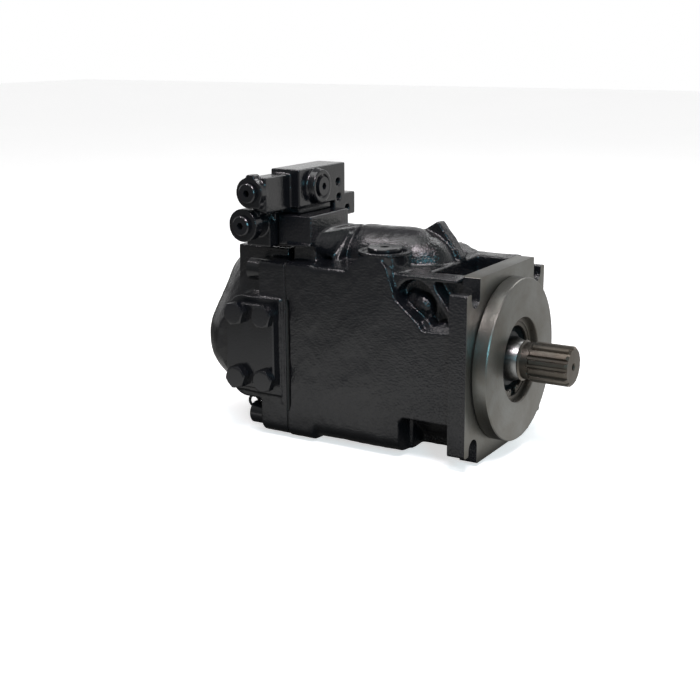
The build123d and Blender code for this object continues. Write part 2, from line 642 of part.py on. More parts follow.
with BuildPart() as control_body:
    for block_centre, block_size in UPPER_BLOCKS:
        with Locations(block_centre):
            Box(*block_size)
    # upper spool barrel
    with BuildSketch(Plane.XZ.offset(56)):
        with BuildLine():
            Polyline(*BARREL_WEB, close=True)
        make_face()
        with Locations((COMP_X, COMP_Z)):
            Circle(11.6)
    extrude(amount=33)
    # its near-end disc, with two rounded ears
    with BuildSketch(Plane.XZ.offset(-COMP_ROOT_Y)):
        with Locations((COMP_X, COMP_Z)):
            Circle(11.8)
        with Locations((COMP_X + 1.2, COMP_Z + 10.6)):
            RectangleRounded(7.6, 6.4, 1.8)
        with Locations((COMP_X + 6, COMP_Z - 8)):
            RectangleRounded(8, 7, 2.0)
    extrude(amount=COMP_ROOT_Y - COMP_END_Y)
    for block_centre, block_size in LOWER_BLOCKS:
        with Locations(block_centre):
            Box(*block_size)
    # pocket for the fixing screw at the upper corner of the near face
    with BuildSketch(Plane.XZ.offset(71)):
        with Locations((-172.6, 104.6)):
            RectangleRounded(8.5, 6.0, 2.6)
    extrude(amount=-9, mode=Mode.SUBTRACT)
    # lower spool barrel with its near-end disc
    with BuildSketch(Plane.XZ.offset(68)):
        with Locations((SENSE_X - 2, SENSE_Z - 0.6)):
            Circle(10.6)
    extrude(amount=18)
    with BuildSketch(Plane.XZ.offset(-SENSE_ROOT_Y)):
        with Locations((SENSE_X, SENSE_Z)):
            Circle(12.8)
    extrude(amount=SENSE_ROOT_Y - SENSE_END_Y)
    # small ear between the two barrels
    with Locations((-170.0, -84, 113.2)):
        Box(7.5, 7, 6.5)
    # raised port boss on the front face, flared at its foot
    with BuildSketch(Plane.YZ.offset(-152.5)):
        with Locations(BOSS_CENTRE):
            Circle(14)
    extrude(amount=7.0, taper=9)
    # recess for the plug head, and its thread
    for hole_r, hole_length in ((9.4, 2), (6.6, -16)):
        with BuildSketch(Plane.YZ.offset(BOSS_SEAT_X)):
            with Locations(BOSS_CENTRE):
                Circle(hole_r)
        extrude(amount=hole_length, mode=Mode.SUBTRACT)
    # orifice holes in the front face
    with BuildSketch(Plane.YZ.offset(-152)):
        with Locations(*ORIFICES):
            Circle(3.1)
    extrude(amount=-9, mode=Mode.SUBTRACT)
    # spool bores, with the wider spring chambers and adjuster threads
    with BuildSketch(Plane.XZ.offset(BORE_CUT_Y)):
        with Locations((COMP_X, COMP_Z)):
            Circle(COMP_BORE_R)
    extrude(amount=-92, mode=Mode.SUBTRACT)
    with BuildSketch(Plane.XZ.offset(BORE_CUT_Y)):
        with Locations((COMP_X, COMP_Z), (SENSE_X, SENSE_Z)):
            Circle(6.6)
    extrude(amount=-35, mode=Mode.SUBTRACT)
    with BuildSketch(Plane.XZ.offset(BORE_CUT_Y)):
        with Locations((SENSE_X, SENSE_Z)):
            Circle(SENSE_BORE_R)
    extrude(amount=-92, mode=Mode.SUBTRACT)
    # fixing screw holes, through to the pad
    with BuildSketch(Plane.YZ.offset(CONTROL_REAR_X - 2)):
        with Locations(*CONTROL_SCREWS):
            Circle(4.5)
    extrude(amount=30, mode=Mode.SUBTRACT)
save(control_body.part, "control_body")

socket_screws("control_screws", CONTROL_SCREWS, CONTROL_REAR_X, head_r=6.5, head_length=8,
              shank_r=4.15, shank_length=40, socket_r=3.0, socket_depth=4.5)
socket_plug("control_port_plug", Plane.YZ.offset(BOSS_SEAT_X), BOSS_CENTRE,
            head_r=7.4, head_t=2.4, thread_r=6.5, thread_length=11, overlap=0.6,
            socket_r=2.6, socket_depth=6)

ORIFICE_PLUG_X = -154.5   # front face of the plugs
with BuildPart() as orifice_plugs:
    with BuildSketch(Plane.YZ.offset(ORIFICE_PLUG_X)):
        with Locations(*ORIFICES):
            Circle(3.05)
    extrude(amount=-6)
    with BuildSketch(Plane.YZ.offset(ORIFICE_PLUG_X)):
        with Locations(*ORIFICES):
            RegularPolygon(1.25, 6, major_radius=False)
    extrude(amount=-3, mode=Mode.SUBTRACT)
save(orifice_plugs.part, "orifice_plugs")

adjuster("pc_adjuster", COMP_X, COMP_Z, COMP_END_Y)
adjuster("ls_adjuster", SENSE_X, SENSE_Z, SENSE_END_Y)

SPOOL_GAP = 0.05   # radial
spool("pc_spool", COMP_X, COMP_Z, land_r=COMP_BORE_R - SPOOL_GAP, groove_r=2.2)
spool("ls_spool", SENSE_X, SENSE_Z, land_r=SENSE_BORE_R - SPOOL_GAP, groove_r=2.6)

coil_spring("pc_spring", (COMP_X, -85.2, COMP_Z), (0, 1, 0),
            radius=4.9, pitch=3.6, wire_r=0.75)
coil_spring("ls_spring", (SENSE_X, -83.2, SENSE_Z), (0, 1, 0),
            radius=4.9, pitch=3.2, wire_r=0.7)

# ================================================================== ROTATING GROUP
SHAFT_END_X = 55.0
SHAFT_PROFILE = [   # x, radius
    (-183, 0), (-183, 11.5), (-182, 12.5), (-160.8, 12.5), (-160.8, 14.0), (-129, 14.0),
    (-129, 15.5), (-104, 15.5), (-104, 16.0), (-35, 16.0), (-35, 20.5), (-30.05, 20.5),
    (-30.05, 17.5), (14.4, 17.5), (16.8, 14.3), (23.2, 14.3), (24.5, 15.6), (53.2, 15.6),
    (SHAFT_END_X, 13.8), (SHAFT_END_X, 0),
]

with BuildPart() as drive_shaft:
    with BuildSketch(Plane.XZ):
        with BuildLine():
            Polyline(*SHAFT_PROFILE, close=True)
        make_face()
    revolve(axis=Axis.X)
    # fourteen-tooth drive spline, 12/24 pitch
    with BuildSketch(Plane.YZ.offset(22.0)):
        with PolarLocations(14.95, 14):
            Trapezoid(5.5, 2.9, 58.2, rotation=90)
    extrude(amount=40, mode=Mode.SUBTRACT)
    # spline that carries the cylinder block
    with BuildSketch(Plane.YZ.offset(-160.8)):
        with PolarLocations(14.75, BLOCK_TEETH):
            Rectangle(1.7, 2.5)
    extrude(amount=31.9)
    # centre drilling in the free end
    with BuildSketch(Plane.YZ.offset(SHAFT_END_X)):
        Circle(2.6)
    extrude(amount=-6, mode=Mode.SUBTRACT)
    with Locations((SHAFT_END_X - 1, 0, 0)):
        Cone(0.4, 4.4, 4, rotation=(0, 90, 0), mode=Mode.SUBTRACT)
save(drive_shaft.part, "drive_shaft")

with BuildPart() as cylinder_block:
    with BuildSketch(Plane.YZ.offset(BLOCK_REAR_X)):
        Circle(BLOCK_R)
    extrude(amount=BLOCK_FRONT_X - BLOCK_REAR_X)
    with BuildSketch(Plane.YZ.offset(BLOCK_FRONT_X)):
        with PolarLocations(BORE_PITCH_R, PISTON_COUNT):
            Circle(BORE_R)
    extrude(amount=-45, mode=Mode.SUBTRACT)
    # slot behind each bore
    with BuildSketch(Plane.YZ.offset(BLOCK_REAR_X)):
        with PolarLocations(KIDNEY_PITCH_R, PISTON_COUNT):
            SlotOverall(15, 7.5, rotation=90)
    extrude(amount=12, mode=Mode.SUBTRACT)
    # spring chamber and splined hub
    with BuildSketch(Plane.YZ.offset(BLOCK_FRONT_X)):
        Circle(23.5)
    extrude(amount=-31, mode=Mode.SUBTRACT)
    with BuildSketch(Plane.YZ.offset(BLOCK_REAR_X - 1)):
        Circle(14.1)
        with PolarLocations(14.8, BLOCK_TEETH):
            Rectangle(1.9, 2.7)
    extrude(amount=40, mode=Mode.SUBTRACT)
save(cylinder_block.part, "cylinder_block")

with BuildPart() as valve_plate:
    with BuildSketch(Plane.YZ.offset(VALVE_PLATE_X)):
        Circle(50)
        Circle(20, mode=Mode.SUBTRACT)
    extrude(amount=CAP_FRONT_X - VALVE_PLATE_X)
    # one kidney slot on each side, 112 degrees long
    for middle_angle in (0, 180):
        with BuildSketch(Plane.YZ.offset(VALVE_PLATE_X + 1)):
            SlotArc(CenterArc((0, 0), KIDNEY_PITCH_R, middle_angle - 56, 112), 7.2)
        extrude(amount=-10, mode=Mode.SUBTRACT)
save(valve_plate.part, "valve_plate")

# ball guide: presses the retainer plate towards the swash
GUIDE_R = 19.0           # spherical surface, centred on the pivot
GUIDE_BORE_R = 16.1
GUIDE_REAR_X = -101.5
GUIDE_FRONT_X = PIVOT_X + 6
GUIDE_FRONT_R = math.sqrt(GUIDE_R**2 - 36)
with BuildPart() as ball_guide:
    with BuildSketch(Plane.XZ):
        with BuildLine():
            Polyline((GUIDE_REAR_X, GUIDE_BORE_R), (GUIDE_REAR_X, 22.8), (-98.5, 22.8),
                     (-98.5, 18.0), (-84.08, 18.0))
            ThreePointArc((-84.08, 18.0), (PIVOT_X, GUIDE_R), (GUIDE_FRONT_X, GUIDE_FRONT_R))
            Polyline((GUIDE_FRONT_X, GUIDE_FRONT_R), (GUIDE_FRONT_X, GUIDE_BORE_R),
                     (GUIDE_REAR_X, GUIDE_BORE_R))
        make_face()
    revolve(axis=Axis.X)
save(ball_guide.part, "ball_guide")

coil_spring("block_spring", (-128.3, 0, 0), (1, 0, 0), radius=19.6, pitch=6.2, wire_r=1.6)

# ================================================================== BEARINGS AND SEAL
turned_ring("front_bearing_outer", [(-29.9, BEARING_SEAT_R), (-9.05, BEARING_SEAT_R),
                                    (-9.05, 32.2), (-29.9, 29.6)])

CONE_REAR_X, CONE_FRONT_X = -30.0, -12.0
CONE_REAR_R, CONE_FRONT_R = 22.4, 25.0
ROLLER_COUNT = 16
ROLLER_START_X = -28.6
ROLLER_START_R = CONE_REAR_R + 3.6   # distance of the roller's rear end from the drive axis
ROLLER_TILT = math.atan2(CONE_FRONT_R - CONE_REAR_R, CONE_FRONT_X - CONE_REAR_X)

with BuildPart() as front_bearing_inner:
    with BuildSketch(Plane.XZ):
        with BuildLine():
            Polyline((CONE_REAR_X, 17.5), (CONE_REAR_X, CONE_REAR_R),
                     (CONE_FRONT_X, CONE_FRONT_R), (CONE_FRONT_X, 17.5), close=True)
        make_face()
    revolve(axis=Axis.X)
    # cylindrical rollers, tilted along the cone
    for i in range(ROLLER_COUNT):
        angle = 2 * math.pi * i / ROLLER_COUNT
        radial = Vector(0, math.cos(angle), math.sin(angle))
        roller_dir = Vector(math.cos(ROLLER_TILT), 0, 0) + radial * math.sin(ROLLER_TILT)
        roller_start = Vector(ROLLER_START_X, 0, 0) + radial * ROLLER_START_R
        with BuildSketch(Plane(origin=roller_start, z_dir=roller_dir)):
            Circle(3.45)
        extrude(amount=15.0)
save(front_bearing_inner.part, "front_bearing_inner")

turned_ring("rear_bearing_outer",
            [(-178.0, 23.45), (-161.0, 23.45), (-161.0, 20.6), (-178.0, 20.6)])

with BuildPart() as rear_bearing_inner:
    with BuildSketch(Plane.XZ):
        with BuildLine():
            Polyline((-178.0, 12.55), (-162.0, 12.55), (-162.0, 15.3), (-178.0, 15.3),
                     close=True)
        make_face()
    revolve(axis=Axis.X)
    # rollers
    with BuildSketch(Plane.YZ.offset(-176.5)):
        with PolarLocations(17.85, 14):
            Circle(2.65)
    extrude(amount=13)
save(rear_bearing_inner.part, "rear_bearing_inner")

SEAL_R = 28.95
turned_ring("shaft_seal", [
    (-3.9, SEAL_R), (4.6, SEAL_R), (4.6, 27.2), (-2.4, 27.2), (-2.4, 22.5),
    (3.4, 21.0), (3.4, 17.58), (1.4, 17.58), (1.4, 19.6), (-3.9, 20.6),
])

# internal snap ring that keeps the seal in: open at the bottom, with two eyes
SNAP_X, SNAP_T = 4.9, 1.9
with BuildPart() as seal_ring:
    with BuildSketch(Plane.YZ.offset(SNAP_X)):
        Circle(SEAL_R)
        Circle(26.0, mode=Mode.SUBTRACT)
        with Locations((0, -28)):
            Rectangle(9, 8, mode=Mode.SUBTRACT)
    extrude(amount=SNAP_T)
    with BuildSketch(Plane.YZ.offset(SNAP_X)):
        with Locations((6.6, -25.4), (-6.6, -25.4)):
            Circle(2.7)
            Circle(1.1, mode=Mode.SUBTRACT)
    extrude(amount=SNAP_T)
save(seal_ring.part, "seal_ring")

# ================================================================== SWASH AND SERVO
with BuildPart() as swash_plate:
    with BuildSketch(SWASH.offset(9.0)):
        Circle(52.5)
    extrude(amount=10.0)
    # cylindrical runners on the flange side of the plate
    for side in (-1, 1):
        with BuildSketch(Plane(origin=(PIVOT_X, side * 28.2, 0),
                               x_dir=(SWASH_COS, 0, SWASH_SIN), z_dir=(0, -side, 0))):
            Circle(38.05)
            with Locations((-22, 0)):
                Rectangle(72, 90, mode=Mode.SUBTRACT)
            with Locations((20, 40.5), (20, -40.5)):
                Rectangle(60, 17, mode=Mode.SUBTRACT)
        extrude(amount=-18.0)
    # arm with the ball that meets the servo piston
    with BuildSketch(SWASH.offset(10.0)):
        with Locations((0, 58)):
            Rectangle(13, 30)
    extrude(amount=8.0)
    with Locations(SWASH.offset(ARM_X).location * Location((0, ARM_Z, 0))):
        Sphere(ARM_BALL_R)
    # passage for the shaft
    with BuildSketch(SWASH):
        Circle(24.5)
    extrude(amount=60, mode=Mode.SUBTRACT)
save(swash_plate.part, "swash_plate")

with BuildPart() as cradle_bearings:
    for side in (-1, 1):
        with BuildSketch(Plane.XZ.offset(-side * 29.0)):
            with Locations((PIVOT_X, 0)):
                Circle(40.05)
                Circle(38.12, mode=Mode.SUBTRACT)
            with Locations((PIVOT_X - 12, 0)):
                Rectangle(87, 100, mode=Mode.SUBTRACT)
        extrude(amount=-side * 16.5)
save(cradle_bearings.part, "cradle_bearings")

coil_spring("bias_spring", (-61.4, 0, 42.5), (1, 0, 0), radius=5.6, pitch=5.6, wire_r=1.2)

# servo piston: its front face stands 0.2 mm behind the swash arm ball
ARM_BALL_X = PIVOT_X + ARM_X * SWASH_COS - ARM_Z * SWASH_SIN
SERVO_FACE_X = ARM_BALL_X - ARM_BALL_R - 0.2
with BuildPart() as servo_piston:
    with BuildSketch(Plane.YZ.offset(SERVO_FACE_X)):
        with Locations((0, SERVO_Z)):
            Circle(SERVO_R - 0.04)
    extrude(amount=-30)
    # hollow from the rear
    with BuildSketch(Plane.YZ.offset(SERVO_FACE_X - 31)):
        with Locations((0, SERVO_Z)):
            Circle(9)
    extrude(amount=18, mode=Mode.SUBTRACT)
save(servo_piston.part, "servo_piston")

# plug that closes the servo bore
with BuildPart() as servo_plug:
    with BuildSketch(Plane.YZ.offset(SEAM_X + 0.1)):
        with Locations((0, SERVO_Z)):
            Circle(SERVO_R - 0.02)
    extrude(amount=12)
    with BuildSketch(Plane.YZ.offset(SEAM_X + 0.1)):
        with Locations((0, SERVO_Z)):
            RegularPolygon(5.0, 6, major_radius=False)
    extrude(amount=7, mode=Mode.SUBTRACT)
save(servo_plug.part, "servo_plug")

with BuildPart() as retainer_plate:
    with BuildSketch(SWASH.offset(1.3)):
        Circle(51.0)
        Circle(19.35, mode=Mode.SUBTRACT)
        with PolarLocations(BALL_PITCH_R, PISTON_COUNT):
            Circle(10.15, mode=Mode.SUBTRACT)
    extrude(amount=3.4)
save(retainer_plate.part, "retainer_plate")


# ================================================================== PISTONS AND SLIPPERS
def build_slipper(name, foot):
    """Slipper on the swash; foot is the swash-parallel plane at the ball centre."""
    with BuildPart() as slipper:
        with BuildSketch(foot.offset(4.85)):
            Circle(12.1)
        extrude(amount=4.1)
        with BuildSketch(foot.offset(-2.5)):
            Circle(9.8)
        extrude(amount=8.0)
        # ball socket
        with Locations(foot.location):
            Sphere(BALL_R + 0.05, mode=Mode.SUBTRACT)
        # ring groove in the sliding face
        with BuildSketch(foot.offset(9.0)):
            Circle(6.5)
            Circle(5.0, mode=Mode.SUBTRACT)
        extrude(amount=-0.8, mode=Mode.SUBTRACT)
    save(slipper.part, name)


def build_piston(name, ball):
    """Piston reaching back along -X from its ball centre."""
    with BuildPart() as piston:
        with Locations(Location(ball)):
            Sphere(BALL_R)
        # neck
        with BuildSketch(Plane(origin=ball, x_dir=(0, 1, 0), z_dir=(-1, 0, 0))):
            Circle(5.2)
        extrude(amount=13.5)
        # barrel
        with BuildSketch(Plane(origin=ball - Vector(13.0, 0, 0),
                               x_dir=(0, 1, 0), z_dir=(-1, 0, 0))):
            Circle(PISTON_R)
        extrude(amount=40.3)
        # hollow from the rear
        with BuildSketch(Plane(origin=ball - Vector(54.0, 0, 0),
                               x_dir=(0, 1, 0), z_dir=(1, 0, 0))):
            Circle(5.6)
        extrude(amount=30, mode=Mode.SUBTRACT)
    save(piston.part, name)


for i in range(PISTON_COUNT):
    angle = 2 * math.pi * i / PISTON_COUNT
    ball_centre = SWASH.from_local_coords(
        Vector(BALL_PITCH_R * math.cos(angle), BALL_PITCH_R * math.sin(angle), 0))
    foot_plane = Plane(origin=ball_centre, x_dir=SWASH.x_dir, z_dir=SWASH.z_dir)
    build_slipper(f"slipper_{i + 1}", foot_plane)
    build_piston(f"piston_{i + 1}", ball_centre)
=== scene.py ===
# A swash-plate piston pump: iron housing with a machined flange, end cap and control valve.
# The drive shaft lies along X and comes out towards +X. The flange face is at x = 0, and the
# end cap closes the -X end at about x = -160 mm. The valve stands on top (+Z), on the -Y side.
# Shapes are given in mm and scaled by MM. Shader, light and stage values are in metres.
import json
import math
import bpy
import bmesh
import numpy as np
from mathutils import Vector, Matrix


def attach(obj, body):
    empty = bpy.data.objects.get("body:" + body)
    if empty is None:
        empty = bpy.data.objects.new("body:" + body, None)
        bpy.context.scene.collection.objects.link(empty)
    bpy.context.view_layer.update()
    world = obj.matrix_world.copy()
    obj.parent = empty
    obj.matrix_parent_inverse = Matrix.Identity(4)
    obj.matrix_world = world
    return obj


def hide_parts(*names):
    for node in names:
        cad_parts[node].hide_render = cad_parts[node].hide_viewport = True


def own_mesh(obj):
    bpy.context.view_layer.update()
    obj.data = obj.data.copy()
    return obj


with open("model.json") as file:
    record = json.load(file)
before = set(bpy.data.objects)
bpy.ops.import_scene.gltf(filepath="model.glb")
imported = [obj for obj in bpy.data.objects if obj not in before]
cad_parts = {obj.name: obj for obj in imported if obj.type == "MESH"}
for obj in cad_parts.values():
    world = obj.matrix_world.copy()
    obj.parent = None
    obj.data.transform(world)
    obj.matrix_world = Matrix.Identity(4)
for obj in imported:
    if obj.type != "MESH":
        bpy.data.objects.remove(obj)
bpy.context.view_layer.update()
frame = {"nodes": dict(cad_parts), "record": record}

NODES = frame["nodes"]
BODY_OF = {node: body
           for body, nodes in frame["record"]["behaviour"]["bodies"].items() for node in nodes}
MM = 0.001


# ------------------------------------------------------------------ shader graphs
class Graph:
    """A shader node tree, with a method for each common node."""

    def __init__(self, tree):
        self.tree = tree

    def add(self, kind, inputs=None, **settings):
        node = self.tree.nodes.new("ShaderNode" + kind)
        for key, value in settings.items():
            setattr(node, key, value)
        self.feed(node, inputs or {})
        return node

    def feed(self, node, inputs):
        """Links sockets, and sets numbers and colours, by input name or index."""
        for key, value in inputs.items():
            if isinstance(value, bpy.types.NodeSocket):
                self.tree.links.new(value, node.inputs[key])
            elif isinstance(value, tuple):
                node.inputs[key].default_value = (*value, 1.0)
            else:
                node.inputs[key].default_value = value

    def find(self, kind):
        return next(node for node in self.tree.nodes if node.type == kind)

    def object_coords(self):
        return self.add("TexCoord").outputs["Object"]

    def xyz(self, vector):
        return tuple(self.add("SeparateXYZ", {0: vector}).outputs)

    def noise(self, vector, scale, detail=3.0, roughness=0.55, distortion=0.0):
        return self.add("TexNoise", {"Scale": scale, "Detail": detail, "Roughness": roughness,
                                     "Distortion": distortion, "Vector": vector}).outputs["Fac"]

    def ramp(self, factor, stops):
        """Grey ramp from (position, brightness) stops."""
        node = self.add("ValToRGB")
        elements = node.color_ramp.elements
        while len(elements) < len(stops):
            elements.new(0.5)
        for element, (position, grey) in zip(elements, stops):
            element.position = position
            element.color = (grey, grey, grey, 1.0)
        self.feed(node, {"Fac": factor})
        return node.outputs["Color"]

    def calc(self, operation, first, second=None):
        inputs = {0: first} if second is None else {0: first, 1: second}
        return self.add("Math", inputs, operation=operation).outputs[0]

    def times(self, first, second):
        return self.calc("MULTIPLY", first, second)

    def length(self, first, second):
        """Length of a vector from its two components."""
        squares = self.calc("ADD", self.times(first, first), self.times(second, second))
        return self.calc("SQRT", squares)

    def mix(self, factor, first, second):
        return self.add("Mix", {0: factor, 6: first, 7: second}, data_type="RGBA").outputs[2]

    def remap(self, value, from_min, from_max, to_min=0.0, to_max=1.0):
        return self.add("MapRange", {"From Min": from_min, "From Max": from_max, "To Min": to_min,
                                     "To Max": to_max, "Value": value}).outputs[0]

    def bump(self, height, strength, distance, normal=None):
        inputs = {"Strength": strength, "Distance": distance, "Height": height}
        if normal is not None:
            inputs["Normal"] = normal
        return self.add("Bump", inputs).outputs[0]


def new_material(name):
    """Gives the material, its graph and its Principled node."""
    material = bpy.data.materials.new(name)
    material.use_nodes = True
    material.node_tree.nodes.clear()
    graph = Graph(material.node_tree)
    output = graph.add("OutputMaterial")
    shader = graph.add("BsdfPrincipled")
    graph.feed(output, {0: shader.outputs[0]})
    return material, graph, shader


def tint(colour, red, green, blue):
    return (colour[0] * red, colour[1] * green, colour[2] * blue)


# ------------------------------------------------------------------ materials
def paint(name, base=(0.0042, 0.0044, 0.0052), rough=0.085, peel=1.0, cast=1.0, sheen_amount=0.06):
    """Black gloss over iron; peel and cast scale the orange peel and the cast grain, and the last
    argument scales a painted sheen on faces that look up.
    """
    material, graph, shader = new_material(name)
    place = graph.object_coords()
    cloud = graph.noise(place, scale=22.0, detail=4.0, roughness=0.6)
    colour = graph.mix(cloud, tint(base, 0.75, 0.75, 0.8), tint(base, 1.5, 1.55, 1.7))
    # painted sheen: faces that look up are made lighter, in noisy patches
    normal = graph.add("NewGeometry").outputs["Normal"]
    upward = graph.calc("MAXIMUM", graph.xyz(normal)[2], 0.0)
    painted_sheen = graph.times(upward, graph.noise(place, scale=60.0, detail=5.0, roughness=0.65))
    painted_sheen = graph.times(painted_sheen, sheen_amount * 0.10)
    patches = graph.noise(place, scale=75.0, detail=5.0, roughness=0.7)
    # three layers of relief, from broad to fine; the middle one deepens towards the flange
    broad = graph.bump(graph.noise(place, scale=110.0, detail=2.0, roughness=0.5),
                       strength=0.18 * cast, distance=0.0010)
    deeper = graph.remap(graph.xyz(place)[0], from_min=-0.085, from_max=-0.030,
                         to_min=1.0, to_max=1.0 + 1.1 * cast)
    grain = graph.noise(place, scale=700.0, detail=2.0, roughness=0.5)
    medium = graph.bump(graph.times(grain, deeper), strength=0.80 * cast, distance=0.00042,
                        normal=broad)
    fine = graph.bump(graph.noise(place, scale=1500.0, detail=1.0, roughness=0.5),
                      strength=0.30 * peel, distance=0.00015, normal=medium)
    coat = graph.bump(graph.noise(place, scale=420.0, detail=1.0, roughness=0.4),
                      strength=0.30 * peel, distance=0.0004)
    graph.feed(shader, {
        "Base Color": graph.mix(painted_sheen, colour, (0.30, 0.31, 0.32)),
        "Roughness": graph.ramp(patches, [(0.25, rough * 0.72), (0.75, rough * 1.38)]),
        "Specular IOR Level": 0.55,
        "Coat Weight": 0.0,
        "Coat Roughness": 0.12,
        "Normal": fine,
        "Coat Normal": coat,
    })
    return material


def machined(name, tone, dark, rough, stain):
    """Turned steel: fine rings about the shaft axis, oil stains, slight brown bloom."""
    material, graph, shader = new_material(name)
    place = graph.object_coords()
    x, y, z = graph.xyz(place)
    rings = graph.add("CombineXYZ", {0: graph.length(y, z), 1: x}).outputs[0]
    fine = graph.noise(rings, scale=2600.0, detail=1.0, roughness=0.5)
    band = graph.noise(rings, scale=420.0, detail=3.0, roughness=0.6)
    blot = graph.noise(place, scale=28.0, detail=5.0, roughness=0.62, distortion=0.4)
    speck = graph.noise(place, scale=260.0, detail=4.0, roughness=0.7)
    bloom = graph.mix(graph.ramp(blot, [(0.35, 0.0), (0.7, 1.0)]), tone,
                      tint(tone, 0.78, 0.72, 0.66))
    banded = graph.mix(graph.times(band, 0.35), bloom, dark)
    stains = graph.times(graph.ramp(speck, [(0.58, 0.0), (0.72, 1.0)]), stain * 0.5)
    relief = graph.bump(fine, strength=0.22, distance=0.00012)
    graph.feed(shader, {
        "Base Color": graph.mix(stains, banded, tint(dark, 1.1, 0.8, 0.55)),
        "Metallic": 1.0,
        "Roughness": graph.calc("ADD", graph.times(blot, 0.22), rough - 0.08),
        "Anisotropic": 0.35,
        "Normal": graph.bump(band, strength=0.12, distance=0.0003, normal=relief),
    })
    return material


def brighten_journal(material, edge, tone, rough):
    """Brighter ground steel on the -X side of edge."""
    graph = Graph(material.node_tree)
    shader = graph.find("BSDF_PRINCIPLED")
    fade = 0.0006
    x = graph.xyz(graph.object_coords())[0]
    mask = graph.remap(x, from_min=edge - fade, from_max=edge + fade, to_min=1.0, to_max=0.0)
    old_colour = shader.inputs["Base Color"].links[0].from_socket
    old_rough = shader.inputs["Roughness"].links[0].from_socket
    graph.feed(shader, {
        "Base Color": graph.mix(mask, old_colour, tone),
        "Roughness": graph.add("Mix", {0: mask, 2: old_rough, 3: rough}).outputs[0],
    })


def steel(name, tone=(0.52, 0.51, 0.5), rough=0.28, grain=1.0):
    """Plain metal with cloudy tone and roughness; grain scales its fine relief."""
    material, graph, shader = new_material(name)
    place = graph.object_coords()
    cloud = graph.noise(place, scale=45.0, detail=5.0, roughness=0.6)
    patches = graph.noise(place, scale=140.0, detail=4.0, roughness=0.6)
    relief = graph.noise(place, scale=1400.0, detail=2.0, roughness=0.5)
    graph.feed(shader, {
        "Base Color": graph.mix(cloud, tone, tint(tone, 0.72, 0.72, 0.72)),
        "Metallic": 1.0,
        "Roughness": graph.ramp(patches, [(0.3, rough * 0.8), (0.7, rough * 1.35)]),
        "Normal": graph.bump(relief, strength=0.15 * grain, distance=0.0001),
    })
    return material


def rubber(name, tone=(0.012, 0.012, 0.012), rough=0.55):
    """Matt dark rubber or fibre."""
    material, graph, shader = new_material(name)
    place = graph.object_coords()
    cloud = graph.noise(place, scale=90.0, detail=4.0, roughness=0.6)
    patches = graph.noise(place, scale=300.0, detail=3.0, roughness=0.6)
    relief = graph.noise(place, scale=900.0, detail=2.0, roughness=0.5)
    graph.feed(shader, {
        "Base Color": graph.mix(cloud, tone, tint(tone, 1.8, 1.8, 1.8)),
        "Roughness": graph.ramp(patches, [(0.3, rough * 0.85), (0.7, rough * 1.15)]),
        "Normal": graph.bump(relief, strength=0.2, distance=0.0002),
    })
    return material


CAST_PAINT = paint("paint_casting")
VALVE_PAINT = paint("paint_valve", rough=0.08, peel=0.8, cast=0.45)
FASTENER_PAINT = paint("paint_fasteners", base=(0.005, 0.0052, 0.006), rough=0.15, peel=0.6,
                       cast=0.2, sheen_amount=0.05)
BARE_FACE = machined("bare_face", tone=(0.191, 0.196, 0.187), dark=(0.10, 0.095, 0.085),
                     rough=0.34, stain=0.5)
SHAFT_STEEL = machined("shaft_steel", tone=(0.165, 0.155, 0.138), dark=(0.06, 0.054, 0.046),
                       rough=0.36, stain=0.8)
brighten_journal(SHAFT_STEEL, edge=0.0150, tone=(0.30, 0.305, 0.30), rough=0.30)
RECESS_STEEL = machined("recess_steel", tone=(0.16, 0.152, 0.138), dark=(0.05, 0.045, 0.04),
                        rough=0.40, stain=0.9)
GROUND_STEEL = steel("ground_steel")
BEARING_STEEL = steel("bearing_steel", tone=(0.62, 0.62, 0.63), rough=0.16, grain=0.5)
SPRING_STEEL = steel("spring_steel", tone=(0.28, 0.28, 0.31), rough=0.34)
BRONZE = steel("bronze", tone=(0.55, 0.36, 0.16), rough=0.32)
SEAL_RUBBER = rubber("seal_rubber")
GASKET_FIBRE = rubber("gasket_fibre", tone=(0.02, 0.019, 0.017), rough=0.75)


# ------------------------------------------------------------------ objects and modifiers
def link(ob):
    bpy.context.scene.collection.objects.link(ob)
    return ob


def from_bm(bm, name):
    mesh = bpy.data.meshes.new(name)
    bm.to_mesh(mesh)
    bm.free()
    return link(bpy.data.objects.new(name, mesh))


def set_material(ob, material):
    ob.data.materials.clear()
    ob.data.materials.append(material)


def smooth_faces(ob):
    for face in ob.data.polygons:
        face.use_smooth = True


def smooth_shade(ob, angle):
    smooth_faces(ob)
    ob.data.set_sharp_from_angle(angle=math.radians(angle))


def hand_over(ob, node):
    """Puts a looks object in the place of a CAD node."""
    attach(ob, BODY_OF[node])
    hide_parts(node)


def node_copy(node, name):
    """The CAD mesh of a node, welded, in a new object."""
    bm = bmesh.new()
    bm.from_mesh(NODES[node].data)
    bmesh.ops.remove_doubles(bm, verts=bm.verts, dist=2e-6)
    return from_bm(bm, name)


def apply_modifier(ob, kind, **settings):
    modifier = ob.modifiers.new(kind.lower(), kind)
    for key, value in settings.items():
        setattr(modifier, key, value)
    graph = bpy.context.evaluated_depsgraph_get()
    graph.update()
    mesh = bpy.data.meshes.new_from_object(ob.evaluated_get(graph))
    mesh.name = ob.name
    ob.modifiers.clear()
    old = ob.data
    ob.data = mesh
    bpy.data.meshes.remove(old)


def soften_edges(ob, width):
    """Small edge break of width mm (none if 0), and smooth shading that keeps the flats flat."""
    if width:
        bevel = ob.modifiers.new("edge", "BEVEL")
        bevel.width = width * MM
        bevel.segments = 2
        bevel.limit_method = "ANGLE"
        bevel.angle_limit = math.radians(40)
        bevel.use_clamp_overlap = True
    ob.modifiers.new("sm", "WEIGHTED_NORMAL").keep_sharp = True
    smooth_faces(ob)


